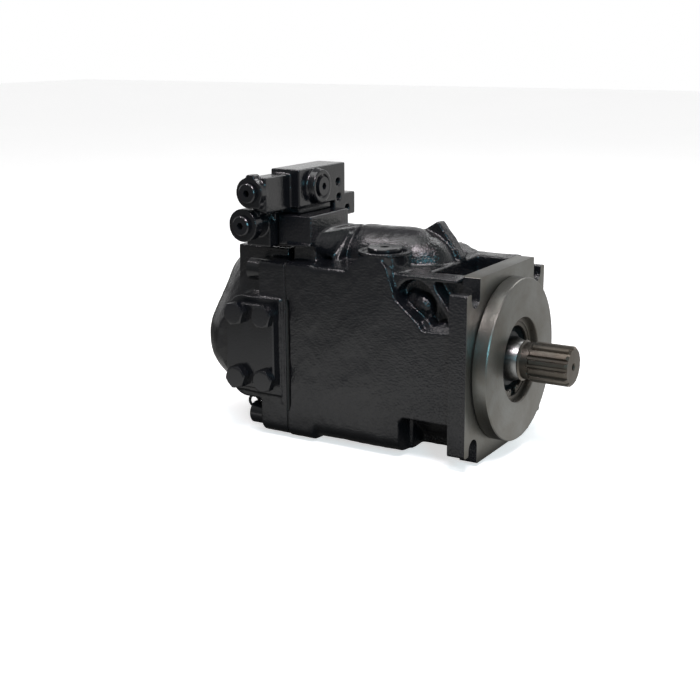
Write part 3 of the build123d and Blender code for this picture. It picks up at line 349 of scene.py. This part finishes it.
# ------------------------------------------------------------------ solid shapes, in mm
def add_cylinder(bm, start, end, radius):
    start = Vector([c * MM for c in start])
    end = Vector([c * MM for c in end])
    along = end - start
    turn = along.to_track_quat("Z", "Y").to_matrix().to_4x4()
    bmesh.ops.create_cone(bm, cap_ends=True, segments=96, radius1=radius * MM,
                          radius2=radius * MM, depth=along.length,
                          matrix=Matrix.Translation((start + end) / 2) @ turn)


def add_hull(bm, points):
    """Convex hull of some points as its own closed shell."""
    verts = [bm.verts.new((x * MM, y * MM, z * MM)) for x, y, z in points]
    result = bmesh.ops.convex_hull(bm, input=verts, use_existing_faces=False)
    unused = [item for item in result["geom_interior"] + result["geom_unused"]
              if isinstance(item, bmesh.types.BMVert) and item.is_valid]
    if unused:
        bmesh.ops.delete(bm, geom=list(set(unused)), context="VERTS")


def add_prism(bm, axis, outline, start, end):
    """Closed prism along an axis: 'y' takes (x, z) pairs, 'x' takes (y, z) pairs."""
    def vert(pair, along):
        place = (pair[0], along, pair[1]) if axis == "y" else (along, pair[0], pair[1])
        return bm.verts.new(tuple(c * MM for c in place))

    first = [vert(pair, start) for pair in outline]
    last = [vert(pair, end) for pair in outline]
    count = len(outline)
    faces = [bm.faces.new(first), bm.faces.new(last[::-1])]
    for i in range(count):
        j = (i + 1) % count
        faces.append(bm.faces.new((first[i], last[i], last[j], first[j])))
    bmesh.ops.recalc_face_normals(bm, faces=faces)


def add_ellipsoid(bm, centre, radii, turn):
    """Ellipsoid turned about Y by an angle in degrees."""
    matrix = (Matrix.Translation(Vector(centre) * MM)
              @ Matrix.Rotation(math.radians(turn), 4, "Y")
              @ Matrix.Diagonal((radii[0] * MM, radii[1] * MM, radii[2] * MM, 1)))
    bmesh.ops.create_icosphere(bm, subdivisions=4, radius=1.0, matrix=matrix)


def lathe(name, profile, segments, material):
    """Closed ring turned about X from (x, radius) pairs."""
    bm = bmesh.new()
    rings = []
    for i in range(segments):
        a = 2 * math.pi * i / segments
        rings.append([bm.verts.new((x * MM, r * MM * math.cos(a), r * MM * math.sin(a)))
                      for x, r in profile])
    count = len(profile)
    for i in range(segments):
        ring, following = rings[i], rings[(i + 1) % segments]
        for k in range(count):
            m = (k + 1) % count
            bm.faces.new((ring[k], ring[m], following[m], following[k]))
    bmesh.ops.recalc_face_normals(bm, faces=bm.faces)
    ob = from_bm(bm, name)
    ob.data.materials.append(material)
    smooth_shade(ob, 28)
    return ob


# ------------------------------------------------------------------ castings
def get_co(mesh):
    co = np.zeros(len(mesh.vertices) * 3)
    mesh.vertices.foreach_get("co", co)
    return co.reshape(-1, 3)


def set_co(mesh, co):
    mesh.vertices.foreach_set("co", co.astype(np.float32).ravel())
    mesh.update()


def inside_box(co, low, high, soft):
    """1 inside a box, falling to 0 at soft outside it (box and soft in mm)."""
    low, high = np.array(low) * MM, np.array(high) * MM
    outside = np.maximum(np.maximum(low - co, co - high), 0).max(axis=1)
    return np.clip(1 - outside / (soft * MM), 0, 1)


def weight_outside(boxes):
    """Vertex weight: 1, less hold inside each (low corner, high corner, soft, hold) box."""
    def weight(co):
        result = np.ones(len(co))
        for low, high, soft, hold in boxes:
            result *= 1 - hold * inside_box(co, low, high, soft)
        return result
    return weight


def relax(ob, weight, rounds):
    """Rounds edges: each vertex moves towards its neighbours' mean, by its own weight."""
    step = 0.6
    mesh = ob.data
    co = get_co(mesh)
    edges = np.zeros(len(mesh.edges) * 2, dtype=np.int64)
    mesh.edges.foreach_get("vertices", edges)
    edges = edges.reshape(-1, 2)
    count = len(co)
    degree = np.bincount(edges.ravel(), minlength=count).astype(float)[:, None]
    degree[degree == 0] = 1
    pull = weight(co)[:, None] * step
    for _ in range(rounds):
        total = np.zeros_like(co)
        for k in range(3):
            total[:, k] = (np.bincount(edges[:, 0], weights=co[edges[:, 1], k], minlength=count)
                           + np.bincount(edges[:, 1], weights=co[edges[:, 0], k],
                                         minlength=count))
        co += pull * (total / degree - co)
    set_co(mesh, co)


def waves(co, seed, scale):
    """Smooth, repeatable noise from plane waves, about -1 to 1."""
    wave_count = 28
    rng = np.random.default_rng(seed)
    height = np.zeros(len(co))
    for _ in range(wave_count):
        direction = rng.normal(size=3)
        direction /= np.linalg.norm(direction)
        frequency = rng.uniform(0.6, 1.6) / scale
        height += np.sin(co @ direction * frequency * 2 * math.pi + rng.uniform(0, 6.28))
    return height / math.sqrt(wave_count / 2)


def swell(ob, weight, layers):
    """Uneven cast surface from (seed, wavelength, height) layers, in metres."""
    mesh = ob.data
    co = get_co(mesh)
    normals = np.zeros(len(mesh.vertices) * 3)
    mesh.vertices.foreach_get("normal", normals)
    normals = normals.reshape(-1, 3)
    height = np.zeros(len(co))
    for seed, scale, amplitude in layers:
        height += waves(co, seed, scale) * amplitude
    set_co(mesh, co + normals * (height * weight(co))[:, None])


def carve(ob, build):
    """Takes the closed shells made by build(bm) out of a mesh."""
    bm = bmesh.new()
    build(bm)
    bmesh.ops.recalc_face_normals(bm, faces=bm.faces)
    cutter = from_bm(bm, "cutter")
    apply_modifier(ob, "BOOLEAN", operation="DIFFERENCE", solver="EXACT", use_self=True,
                   object=cutter)
    bpy.data.objects.remove(cutter)


def cut_off(bm, x):
    """Removes all beyond x mm and closes the cut."""
    bmesh.ops.bisect_plane(bm, geom=bm.verts[:] + bm.edges[:] + bm.faces[:],
                           plane_co=(x * MM, 0, 0), plane_no=(1, 0, 0), clear_outer=True)
    edges = [edge for edge in bm.edges if edge.is_boundary]
    bmesh.ops.triangle_fill(bm, use_beauty=True, use_dissolve=False, edges=edges)


def casting(node, name, voxel, plugs, cut_x=None, take=None, add=None):
    """Dense one-skin copy of a CAD node.

    The (start, end, radius) plugs fill its inner cavities; take and add build what is carved
    from it and joined to it.
    """
    ob = node_copy(node, name)
    if take:
        carve(ob, take)
    bm = bmesh.new()
    bm.from_mesh(ob.data)
    if add:
        add(bm)
    if cut_x is not None:
        cut_off(bm, cut_x)
    for start, end, radius in plugs:
        add_cylinder(bm, start, end, radius)
    bm.to_mesh(ob.data)
    bm.free()
    apply_modifier(ob, "REMESH", mode="VOXEL", voxel_size=voxel * MM, adaptivity=0.0,
                   use_smooth_shade=True)
    return ob


def thin_out(ob, ratio):
    """Decimates, but keeps the dense mesh's normals, so highlights stay smooth."""
    dense = link(bpy.data.objects.new("dense", ob.data.copy()))
    smooth_faces(dense)
    apply_modifier(ob, "DECIMATE", ratio=ratio)
    smooth_faces(ob)
    apply_modifier(ob, "DATA_TRANSFER", object=dense, use_loop_data=True,
                   data_types_loops={"CUSTOM_NORMAL"}, loop_mapping="POLYINTERP_NEAREST")
    bpy.data.objects.remove(dense)


def finish_casting(ob, node, material):
    """Thins a casting, keeps it inside its CAD node's box and hands it over."""
    thin_out(ob, 0.40)
    limits = get_co(NODES[node].data)
    set_co(ob.data, np.clip(get_co(ob.data), limits.min(axis=0), limits.max(axis=0)))
    set_material(ob, material)
    hand_over(ob, node)


CASTING_VOXEL = 0.9
VALVE_VOXEL = 0.62
CASTING_ROUNDS = 6
VALVE_ROUNDS = 4

# ------------------------------------------------------------------ housing
BEYOND = 80             # half width that clears the housing in Y and Z
PLATE_CUT = (-14.35, 5)  # x range of the flange plate, which is modelled on its own
VALVE_PAD = ((-171, -62, 82), (-137, -2, 109))
# the four screw holes of the joint, (y, z)
JOINT_HOLES = [(y, z) for z in (61, -59) for y in (56, -56)]

# low corner, high corner, soft, hold
HOUSING_RELAX = [
    ((-162, -80, -80), (-156.4, 80, 80), 1.6, 0.85),  # joint edge
    (*VALVE_PAD, 1.0, 0.80),
    ((-103, -67, 80.0), (-61, -25, 90), 1.0, 0.85),   # spotface of the drain boss
]
HOUSING_SWELL = [
    (*VALVE_PAD, 0.5, 1),
    ((-103, -67, 82.2), (-61, -25, 90), 0.5, 1),
    ((-162, -80, -80), (-158.5, 80, 80), 1.0, 1),
]
HOUSING_PLUGS = [
    ((-159.8, 0, 0), (-34, 0, 0), 57.8),
    ((-159.6, 0, 75), (-69, 0, 75), 14.6),
    ((-40, 0, 0), (-14.5, 0, 0), 38.5),
    ((-97.5, 0, 60), (-58.5, 0, 60), 9.0),
    ((-90, 0, 50), (-90, 0, 80), 10.0),
    ((-70, 0, 50), (-70, 0, 78), 10.0),
] + [((-159.8, y, z), (-130, y, z), 6.8) for y, z in JOINT_HOLES]

# (x, z) outlines of the two cuts under the overhang of the valve pad
UNDER_PAD = [
    [(-172, 71.2), (-172, 82.0), (-164, 82.2), (-150, 83.2), (-144.5, 84.0), (-144.5, 71.2)],
    [(-146, 71.2), (-146, 83.6), (-138.6, 84.6), (-138.6, 71.2)],
]
# (x, z) outlines of the side face that runs down past the near pocket, and of the ledge in it
POCKET_SIDE = [(-75, 28), (-75, 60), (-66.2, 61.5), (-64.6, 56.0), (-62.2, 51.6), (-55.9, 46.2),
               (-47.4, 39.6), (-41.8, 32.6), (-38.4, 28.8), (-38, 27), (-60, 27)]
POCKET_LEDGE = [(-66.5, 62), (-62.8, 56), (-61.6, 51), (-55.6, 46), (-47.0, 39.4),
                (-41.4, 32.4), (-38, 28), (-44, 28), (-66, 44)]
# (y, z) outline of the valve-pad end of the flare, at FLARE_PAD_X
FLARE_PAD_X = -139.5
FLARE_PAD = [(-57.5, 84.5), (-55, 89), (-48, 92.5), (-36, 94.5), (-10, 94.0), (-8, 74),
             (-45, 74), (-54, 80)]
# arc at the servo-tube end of the flare, centred on y = 0
FLARE_TUBE_X, FLARE_TUBE_Z, FLARE_TUBE_RADIUS = -128.5, 66, 28.8
# (x, y, z) corners of the block between the pocket and the flange
FLANGE_BLOCK = [
    (-39.5, -65.2, 29.2), (-14.0, -65.2, 30.6), (-14.0, -56, 36.5), (-25.5, -56, 36.8),
    (-33, -61, 31.6), (-14, -45, 36.5), (-30, -45, 36.8), (-40, -45, 28), (-14, -45, 27),
    (-14, -65.2, 27), (-40, -65.2, 27)]


def housing_take(bm):
    for outline, end in zip(UNDER_PAD, (-53, -53)):
        add_prism(bm, "y", outline, -75, end)
    # the slice that the separate flange plate fills: sides, corners, then top and bottom
    for side in (-1, 1):
        add_prism(bm, "x", [(side * 66.2, -BEYOND), (side * BEYOND, -BEYOND),
                            (side * BEYOND, BEYOND), (side * 66.2, BEYOND)], *PLATE_CUT)
        for level in (-1, 1):
            add_prism(bm, "x", [(side * 48.5, level * 48.5), (side * 66.3, level * 48.5),
                                (side * 66.3, level * BEYOND), (side * 48.5, level * BEYOND)],
                      *PLATE_CUT)
    for level in (-1, 1):
        add_prism(bm, "x", [(-48.6, level * 70.0), (48.6, level * 70.0),
                            (48.6, level * BEYOND), (-48.6, level * BEYOND)], *PLATE_CUT)
    # underside of the lower windows falls away towards the middle
    for side in (-1, 1):
        add_prism(bm, "x", [(side * 52, -47.0), (side * 45.2, -47.0), (side * 27.4, -61.7),
                            (side * 27.4, -72), (side * 52, -72)], -56.5, -14.4)


def housing_add(bm):
    add_prism(bm, "y", POCKET_SIDE, -65.9, -46)
    add_prism(bm, "y", POCKET_LEDGE, -62.5, -46)
    # bold knuckle in the pocket
    add_ellipsoid(bm, (-45.2, -47.4, 47.6), (9.6, 9.4, 7.4), turn=38)
    # flare from the valve pad into the servo tube
    arc = [(FLARE_TUBE_X, FLARE_TUBE_RADIUS * math.cos(math.radians(a)),
            FLARE_TUBE_Z + FLARE_TUBE_RADIUS * math.sin(math.radians(a)))
           for a in range(85, 181, 8)]
    add_hull(bm, [(FLARE_PAD_X, y, z) for y, z in FLARE_PAD] + arc)
    add_hull(bm, FLANGE_BLOCK)


housing = casting("housing", "housing_casting", CASTING_VOXEL, HOUSING_PLUGS,
                  cut_x=-13.4, take=housing_take, add=housing_add)
relax(housing, weight_outside(HOUSING_RELAX), CASTING_ROUNDS)
swell(housing, weight_outside(HOUSING_SWELL), [(3, 0.030, 0.00012), (5, 0.009, 0.00006)])
finish_casting(housing, "housing", CAST_PAINT)

# ------------------------------------------------------------------ end cap
CAP_JOINT = ((-163, -80, -80), (-159, 80, 80), 1.2)
# low corner, high corner, soft, hold
CAP_RELAX = [
    (*CAP_JOINT, 0.85),
    ((-230, -70, -48), (-158, -67.2, 44), 0.6, 0.60),  # port pad on the -Y side
    ((-230, 66.8, -52), (-158, 70, 52), 0.8, 0.85),    # pad on the +Y side
]
CAP_PLUGS = (
    [((-160.8, 0, 0), (-200, 0, 0), 46.0)]
    + [((-180, y, z), (-160.8, y, z), 6.9) for z in (61, -59) for y in (-56, 56)]
    + [((-187, -66, 2), (-187, -20, 2), 13.5)])
# (x, y, z) corners of the cut from the pedestal, under the valve pad
PEDESTAL_CUT = [
    (-174.5, -80, 71.6), (-159, -80, 71.6), (-159, -26, 71.6), (-168, -26, 71.6),
    (-174.5, -80, 90), (-159, -80, 90), (-159, -26, 90), (-168, -26, 90)]
# (x, z) outline of the cut at the foot of the near port pad
PORT_FOOT_CUT = [(-216, -46), (-216, -30), (-208, -37.5), (-164.2, -38.5), (-164.2, -46)]


def cap_take(bm):
    add_hull(bm, PEDESTAL_CUT)
    add_prism(bm, "y", PORT_FOOT_CUT, -72, -66.25)


end_cap = casting("end_cap", "end_cap_casting", CASTING_VOXEL, CAP_PLUGS, take=cap_take)
relax(end_cap, weight_outside(CAP_RELAX), CASTING_ROUNDS)
swell(end_cap, weight_outside([(*CAP_JOINT, 1)]), [(13, 0.034, 0.00012), (15, 0.010, 0.00005)])
finish_casting(end_cap, "end_cap", CAST_PAINT)

# ------------------------------------------------------------------ control valve body
valve = casting("control_body", "valve_casting", VALVE_VOXEL,
                [((-172, -84, 127), (-172, -20, 127), 7.5),
                 ((-180, -82, 101.6), (-180, -20, 101.6), 7.5)])
relax(valve, lambda co: np.full(len(co), 0.9), VALVE_ROUNDS)
finish_casting(valve, "control_body", VALVE_PAINT)

# ------------------------------------------------------------------ machined flange
PLATE_BACK, PLATE_FRONT = -14.2, 0.0
PLATE_HALF_WIDTH = 72.0     # along Y
PLATE_HALF_HEIGHT = 71.2    # along Z
LUG_HALF_HEIGHT = 61.6      # top of the side lugs, outside the slots
LUG_RADIUS = 2.4
SHOULDER_RADIUS = 1.6       # top corners, inside the slots
SLOT_CENTRE = 57.25         # the same in Y and Z
SLOT_WIDTH = 14.3
BORE_RADIUS = 40.0
BORE_SEGMENTS = 160


def arc_points(y, z, radius, start, end, steps):
    angles = [math.radians(start + (end - start) * i / steps) for i in range(steps + 1)]
    return [(y + radius * math.cos(a), z + radius * math.sin(a)) for a in angles]


def flange_outline():
    """(y, z) points: a plate with open-ended slots at its corners."""
    half_slot = SLOT_WIDTH / 2
    # one quarter, from the middle of the +Y side to the middle of the top
    quarter = [(PLATE_HALF_WIDTH, 0.0)]
    quarter += arc_points(PLATE_HALF_WIDTH - LUG_RADIUS, LUG_HALF_HEIGHT - LUG_RADIUS,
                          LUG_RADIUS, 0, 90, 6)
    quarter += [(SLOT_CENTRE + half_slot + 1.0, LUG_HALF_HEIGHT),
                (SLOT_CENTRE + half_slot, LUG_HALF_HEIGHT - 0.8)]
    quarter += arc_points(SLOT_CENTRE, SLOT_CENTRE, half_slot, 0, -180, 28)
    quarter += [(SLOT_CENTRE - half_slot, PLATE_HALF_HEIGHT - SHOULDER_RADIUS)]
    quarter += arc_points(SLOT_CENTRE - half_slot - SHOULDER_RADIUS,
                          PLATE_HALF_HEIGHT - SHOULDER_RADIUS, SHOULDER_RADIUS, 0, 90, 5)
    quarter += [(0.0, PLATE_HALF_HEIGHT)]
    upper = quarter + [(-y, z) for y, z in reversed(quarter[:-1])]
    lower = [(y, -z) for y, z in reversed(upper[1:-1])]
    outline = []
    for point in upper + lower:
        if not outline or math.dist(point, outline[-1]) > 0.02:
            outline.append(point)
    return outline


def build_flange_plate():
    bm = bmesh.new()
    outline = flange_outline()
    angles = [2 * math.pi * i / BORE_SEGMENTS for i in range(BORE_SEGMENTS)]
    ends = (PLATE_BACK, PLATE_FRONT)
    outer = [[bm.verts.new((x * MM, y * MM, z * MM)) for y, z in outline] for x in ends]
    inner = [[bm.verts.new((x * MM, BORE_RADIUS * MM * math.cos(a),
                            BORE_RADIUS * MM * math.sin(a))) for a in angles] for x in ends]
    for back, front in (outer, inner):
        count = len(back)
        for i in range(count):
            j = (i + 1) % count
            bm.faces.new((back[i], back[j], front[j], front[i]))
    for loops in zip(outer, inner):
        edges = [bm.edges.get((loop[i], loop[(i + 1) % len(loop)]))
                 for loop in loops for i in range(len(loop))]
        bmesh.ops.triangle_fill(bm, use_beauty=True, use_dissolve=False, edges=edges)
    bmesh.ops.recalc_face_normals(bm, faces=bm.faces)
    # the edges round both faces, outside and at the bore
    rims = [edge for edge in bm.edges
            if len(edge.link_faces) == 2 and edge.calc_face_angle(0) > math.radians(60)
            and abs(edge.verts[0].co.x - edge.verts[1].co.x) < 1e-6]
    bmesh.ops.bevel(bm, geom=rims, offset=0.00055, segments=3, profile=0.6, affect="EDGES",
                    clamp_overlap=True)
    plate = from_bm(bm, "flange_plate")
    plate.data.materials.append(CAST_PAINT)
    plate.data.materials.append(BARE_FACE)
    # the front face and the top edge are bare
    for face in plate.data.polygons:
        front = face.center.x > -0.0007
        top_edge = face.center.z > 0.0702 and face.normal.z > 0.5
        face.material_index = 1 if (front or top_edge) else 0
    smooth_shade(plate, 30)
    hand_over(plate, "housing")


build_flange_plate()

# (x, radius) pairs
PILOT_PROFILE = [
    (-12, 62.0), (0.0, 62.4), (0.5, 63.0), (1.2, 63.45), (11.4, 63.45), (12.3, 62.9),
    (12.7, 61.9), (12.7, 34.0), (12.3, 33.3), (11.8, 33.05), (7.7, 33.05), (7.6, 29.4),
    (7.3, 29.05), (-4.0, 29.02), (-4.0, 25.1), (-12, 25.0)]
RECESS_RADIUS = 33.6    # faces inside this radius are darker

pilot = lathe("pilot_spigot", PILOT_PROFILE, 256, BARE_FACE)
pilot.data.materials.append(RECESS_STEEL)
for face in pilot.data.polygons:
    if math.hypot(face.center.y, face.center.z) < RECESS_RADIUS * MM:
        face.material_index = 1
hand_over(pilot, "housing")

# ------------------------------------------------------------------ rim of the case-drain boss
DRAIN_X, DRAIN_Y = -82, -46
# (height above the shaft axis, radius) pairs
DRAIN_PROFILE = [
    (66.0, 15.2), (66.0, 19.4), (80.6, 19.4), (81.6, 19.9), (82.2, 20.4), (83.6, 20.4),
    (84.0, 20.0), (84.0, 17.3), (83.6, 16.9), (81.45, 16.85), (81.4, 15.2)]

drain_rim = lathe("drain_boss_rim", DRAIN_PROFILE, 144, CAST_PAINT)
# stands the turned ring up along Z
drain_rim.data.transform(Matrix.Translation((DRAIN_X * MM, DRAIN_Y * MM, 0))
                         @ Matrix.Rotation(math.radians(-90), 4, "Y"))
hand_over(drain_rim, "housing")


# ------------------------------------------------------------------ drive shaft and bias spring
def build_drive_shaft():
    """The journal in front of the seal tapers towards the spline."""
    taper_start, taper_end = 6.6 * MM, 14.4 * MM    # x
    journal_min, taper_radius = 17.0 * MM, 14.6 * MM
    shaft = node_copy("drive_shaft", "drive_shaft_turned")
    bm = bmesh.new()
    bm.from_mesh(shaft.data)
    bmesh.ops.bisect_plane(bm, geom=bm.verts[:] + bm.edges[:] + bm.faces[:],
                           plane_co=(taper_start, 0, 0), plane_no=(1, 0, 0))
    for vert in bm.verts:
        radius = math.hypot(vert.co.y, vert.co.z)
        if abs(vert.co.x - taper_end) < 1e-4 and radius > journal_min:
            vert.co.y *= taper_radius / radius
            vert.co.z *= taper_radius / radius
    bm.to_mesh(shaft.data)
    bm.free()
    set_material(shaft, SHAFT_STEEL)
    soften_edges(shaft, 0.25)
    hand_over(shaft, "drive_shaft")


def build_bias_spring():
    """The spring's CAD mesh, welded, in spring steel and with a mesh of its own."""
    spring = node_copy("bias_spring", "bias_spring_coil")
    set_material(spring, SPRING_STEEL)
    smooth_faces(spring)
    hand_over(spring, "bias_spring")
    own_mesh(spring)


build_drive_shaft()
build_bias_spring()

# ------------------------------------------------------------------ materials of the CAD nodes
CASTING_NODES = {"housing": CAST_PAINT, "end_cap": CAST_PAINT, "control_body": VALVE_PAINT}
# material, then the edge break of each node in mm
NODE_LOOKS = [
    (SHAFT_STEEL, {"drive_shaft": 0.25}),
    (GROUND_STEEL, {"cylinder_block": 0.3, "ball_guide": 0.2, "swash_plate": 0.5,
                    "retainer_plate": 0.2, "servo_piston": 0.3, "servo_plug": 0.3,
                    "pc_spool": 0.1, "ls_spool": 0.1,
                    **{f"piston_{i}": 0.3 for i in range(1, 10)}}),
    (BRONZE, {"valve_plate": 0.15, "cradle_bearings": 0.1,
              **{f"slipper_{i}": 0.2 for i in range(1, 10)}}),
    (BEARING_STEEL, {"front_bearing_outer": 0.3, "front_bearing_inner": 0.2,
                     "rear_bearing_outer": 0.3, "rear_bearing_inner": 0.2}),
    (SEAL_RUBBER, {"shaft_seal": 0.2, "port_cover_seal": 0.2, "drain_plug_seal": 0.2}),
    (RECESS_STEEL, {"seal_ring": 0.15}),
    (SPRING_STEEL, {"block_spring": 0, "bias_spring": 0, "pc_spring": 0, "ls_spring": 0}),
    (GASKET_FIBRE, {"joint_gasket": 0}),
    (FASTENER_PAINT, {"port_cover": 0.5, "port_cover_bolts": 0.35, "drain_plug": 0.5,
                      "end_cap_screws": 0.8, "lower_plug": 0.5, "control_screws": 0.6,
                      "control_port_plug": 0.5, "orifice_plugs": 0.2, "pc_adjuster": 0.4,
                      "ls_adjuster": 0.4, "tether_ring": 0}),
]
LOOK_OF = {node: (material, width)
           for material, widths in NODE_LOOKS for node, width in widths.items()}

for node, ob in NODES.items():
    if node in CASTING_NODES:
        set_material(ob, CASTING_NODES[node])
        continue
    material, width = LOOK_OF[node]
    set_material(ob, material)
    ob.modifiers.new("weld", "WELD").merge_threshold = 2e-6
    soften_edges(ob, width)

# ------------------------------------------------------------------ floor
FLOOR_Z = -0.0742


def floor_material():
    """White to the camera; to all other rays, a glow with a painted shadow under the pump."""
    material, graph, shader = new_material("floor_white")
    place = graph.object_coords()
    graph.feed(shader, {
        "Base Color": graph.ramp(graph.noise(place, scale=3.0), [(0.3, 0.80), (0.7, 0.84)]),
        "Roughness": 0.6,
        "Specular IOR Level": 0.1,
        "Emission Color": (1, 1, 1),
        "Emission Strength": 0.62,
    })
    x, y, _ = graph.xyz(place)
    # distance from the pump's footprint, growing faster on the +X side
    ahead = graph.times(graph.calc("MAXIMUM", x, 0.0), 3.0)
    behind = graph.calc("MAXIMUM", graph.calc("SUBTRACT", -0.25, x), 0.0)
    off_x = graph.calc("MINIMUM", graph.calc("ADD", ahead, behind),
                       graph.calc("ADD", graph.calc("ABSOLUTE", x), 0.07))
    off_y = graph.calc("SUBTRACT", graph.calc("ABSOLUTE", y), 0.066)
    off_y = graph.calc("MAXIMUM", off_y, 0.0)
    # painted contact shadow: the glow is near black at the footprint and rises to full within
    # about 0.1 m of it
    glow_with_painted_shadow = graph.ramp(graph.length(off_x, off_y), [
        (0.0, 0.05), (0.022, 0.22), (0.06, 0.82), (0.10, 0.96), (0.24, 0.78), (0.44, 0.50),
        (1.0, 0.32)])
    # dimmer far out towards -X, even far out towards +Y
    side = graph.remap(x, from_min=-0.55, from_max=-0.12, to_min=0.55, to_max=1.0)
    far = graph.remap(y, from_min=0.10, from_max=0.45)
    glow_with_painted_shadow = graph.mix(far, glow_with_painted_shadow, (0.78, 0.78, 0.78))
    # a dark area beyond the end cap
    dark = graph.times(graph.remap(x, from_min=-0.36, from_max=-0.27, to_min=1.0, to_max=0.0),
                       graph.remap(y, from_min=-0.25, from_max=-0.05))
    glow_with_painted_shadow = graph.mix(graph.times(dark, 0.78), glow_with_painted_shadow, (0.02, 0.02, 0.02))
    emission = graph.add("Emission", {"Color": (1.0, 0.99, 0.97),
                                      "Strength": graph.times(glow_with_painted_shadow, side)})
    camera_ray = graph.add("LightPath").outputs["Is Camera Ray"]
    switch = graph.add("MixShader", {0: camera_ray, 1: emission.outputs[0],
                                     2: shader.outputs[0]})
    graph.feed(graph.find("OUTPUT_MATERIAL"), {0: switch.outputs[0]})
    return material


def build_floor():
    bm = bmesh.new()
    grid = [[bm.verts.new((x, y, FLOOR_Z)) for y in np.linspace(-4, 6, 21)]
            for x in np.linspace(-6, 6, 25)]
    for row, following in zip(grid, grid[1:]):
        for j in range(len(row) - 1):
            bm.faces.new((row[j], following[j], following[j + 1], row[j + 1]))
    floor = from_bm(bm, "floor")
    floor.data.materials.append(floor_material())


build_floor()

# ------------------------------------------------------------------ lights
LIGHT_TARGET = (-0.1, 0, 0.02)


def add_area(name, place, size, energy, color=(1, 1, 1), size_y=None):
    light = bpy.data.lights.new(name, "AREA")
    light.energy = energy
    light.color = color
    light.size = size
    if size_y:
        light.shape = "RECTANGLE"
        light.size_y = size_y
    ob = link(bpy.data.objects.new(name, light))
    ob.location = place
    aim = Vector(LIGHT_TARGET) - Vector(place)
    ob.rotation_euler = aim.to_track_quat("-Z", "Y").to_euler()


add_area("key_top", (-0.3, -0.1, 1.6), size=1.0, energy=8)
add_area("back", (0.1, 1.3, 1.3), size=0.7, energy=6)
add_area("box_right", (0.275, -0.535, 1.026), size=0.34, energy=9.5, color=(1.0, 0.90, 0.95))
add_area("box_cyan", (0.716, -0.788, 0.40), size=0.26, energy=3.6, color=(0.30, 0.80, 1.0),
         size_y=0.36)
add_area("box_left", (-0.677, -0.307, 1.026), size=0.16, energy=2.4, color=(1.0, 0.93, 0.96))


# ------------------------------------------------------------------ world
def build_world():
    """White to the camera; in reflections, grey by height, brighter low behind the pump (+Y)."""
    world = bpy.data.worlds.new("studio")
    bpy.context.scene.world = world
    world.use_nodes = True
    graph = Graph(world.node_tree)
    _, y, z = graph.xyz(graph.add("TexCoord").outputs["Generated"])
    behind = graph.ramp(z, [(0.0, 0.85), (0.30, 0.62), (0.55, 0.30), (1.0, 0.34)])
    front = graph.ramp(z, [(0.0, 0.22), (0.30, 0.20), (0.60, 0.36), (1.0, 0.34)])
    room = graph.mix(graph.remap(y, from_min=-0.15, from_max=0.45), front, behind)
    camera_ray = graph.add("LightPath").outputs["Is Camera Ray"]
    graph.feed(world.node_tree.nodes["Background"], {
        "Color": graph.mix(camera_ray, room, (1, 1, 1)),
        "Strength": 1.0,
    })


build_world()
bpy.context.scene.view_settings.view_transform = "Standard"
bpy.context.scene.view_settings.look = "None"

# ------------------------------------------------------------------ camera
CAMERA_PLACE = (0.362665, -0.837672, 0.243040)
AZIMUTH = math.radians(31.003)      # from -Y towards +X
ELEVATION = math.radians(14.64)
ROLL = math.radians(-0.288)


def build_camera():
    data = bpy.data.cameras.new("cam")
    camera = link(bpy.data.objects.new("cam", data))
    back = Vector((math.sin(AZIMUTH) * math.cos(ELEVATION),
                   -math.cos(AZIMUTH) * math.cos(ELEVATION), math.sin(ELEVATION)))
    level = Vector((math.cos(AZIMUTH), math.sin(AZIMUTH), 0))
    upright = back.cross(level)
    right = level * math.cos(ROLL) + upright * math.sin(ROLL)
    up = upright * math.cos(ROLL) - level * math.sin(ROLL)
    rows = [tuple(row) for row in zip(right, up, back, CAMERA_PLACE)]
    camera.matrix_world = Matrix(rows + [(0, 0, 0, 1)])
    data.sensor_width = 36.0
    data.lens = 62.33
    data.clip_start = 0.05
    data.clip_end = 30
    bpy.context.scene.camera = camera


build_camera()
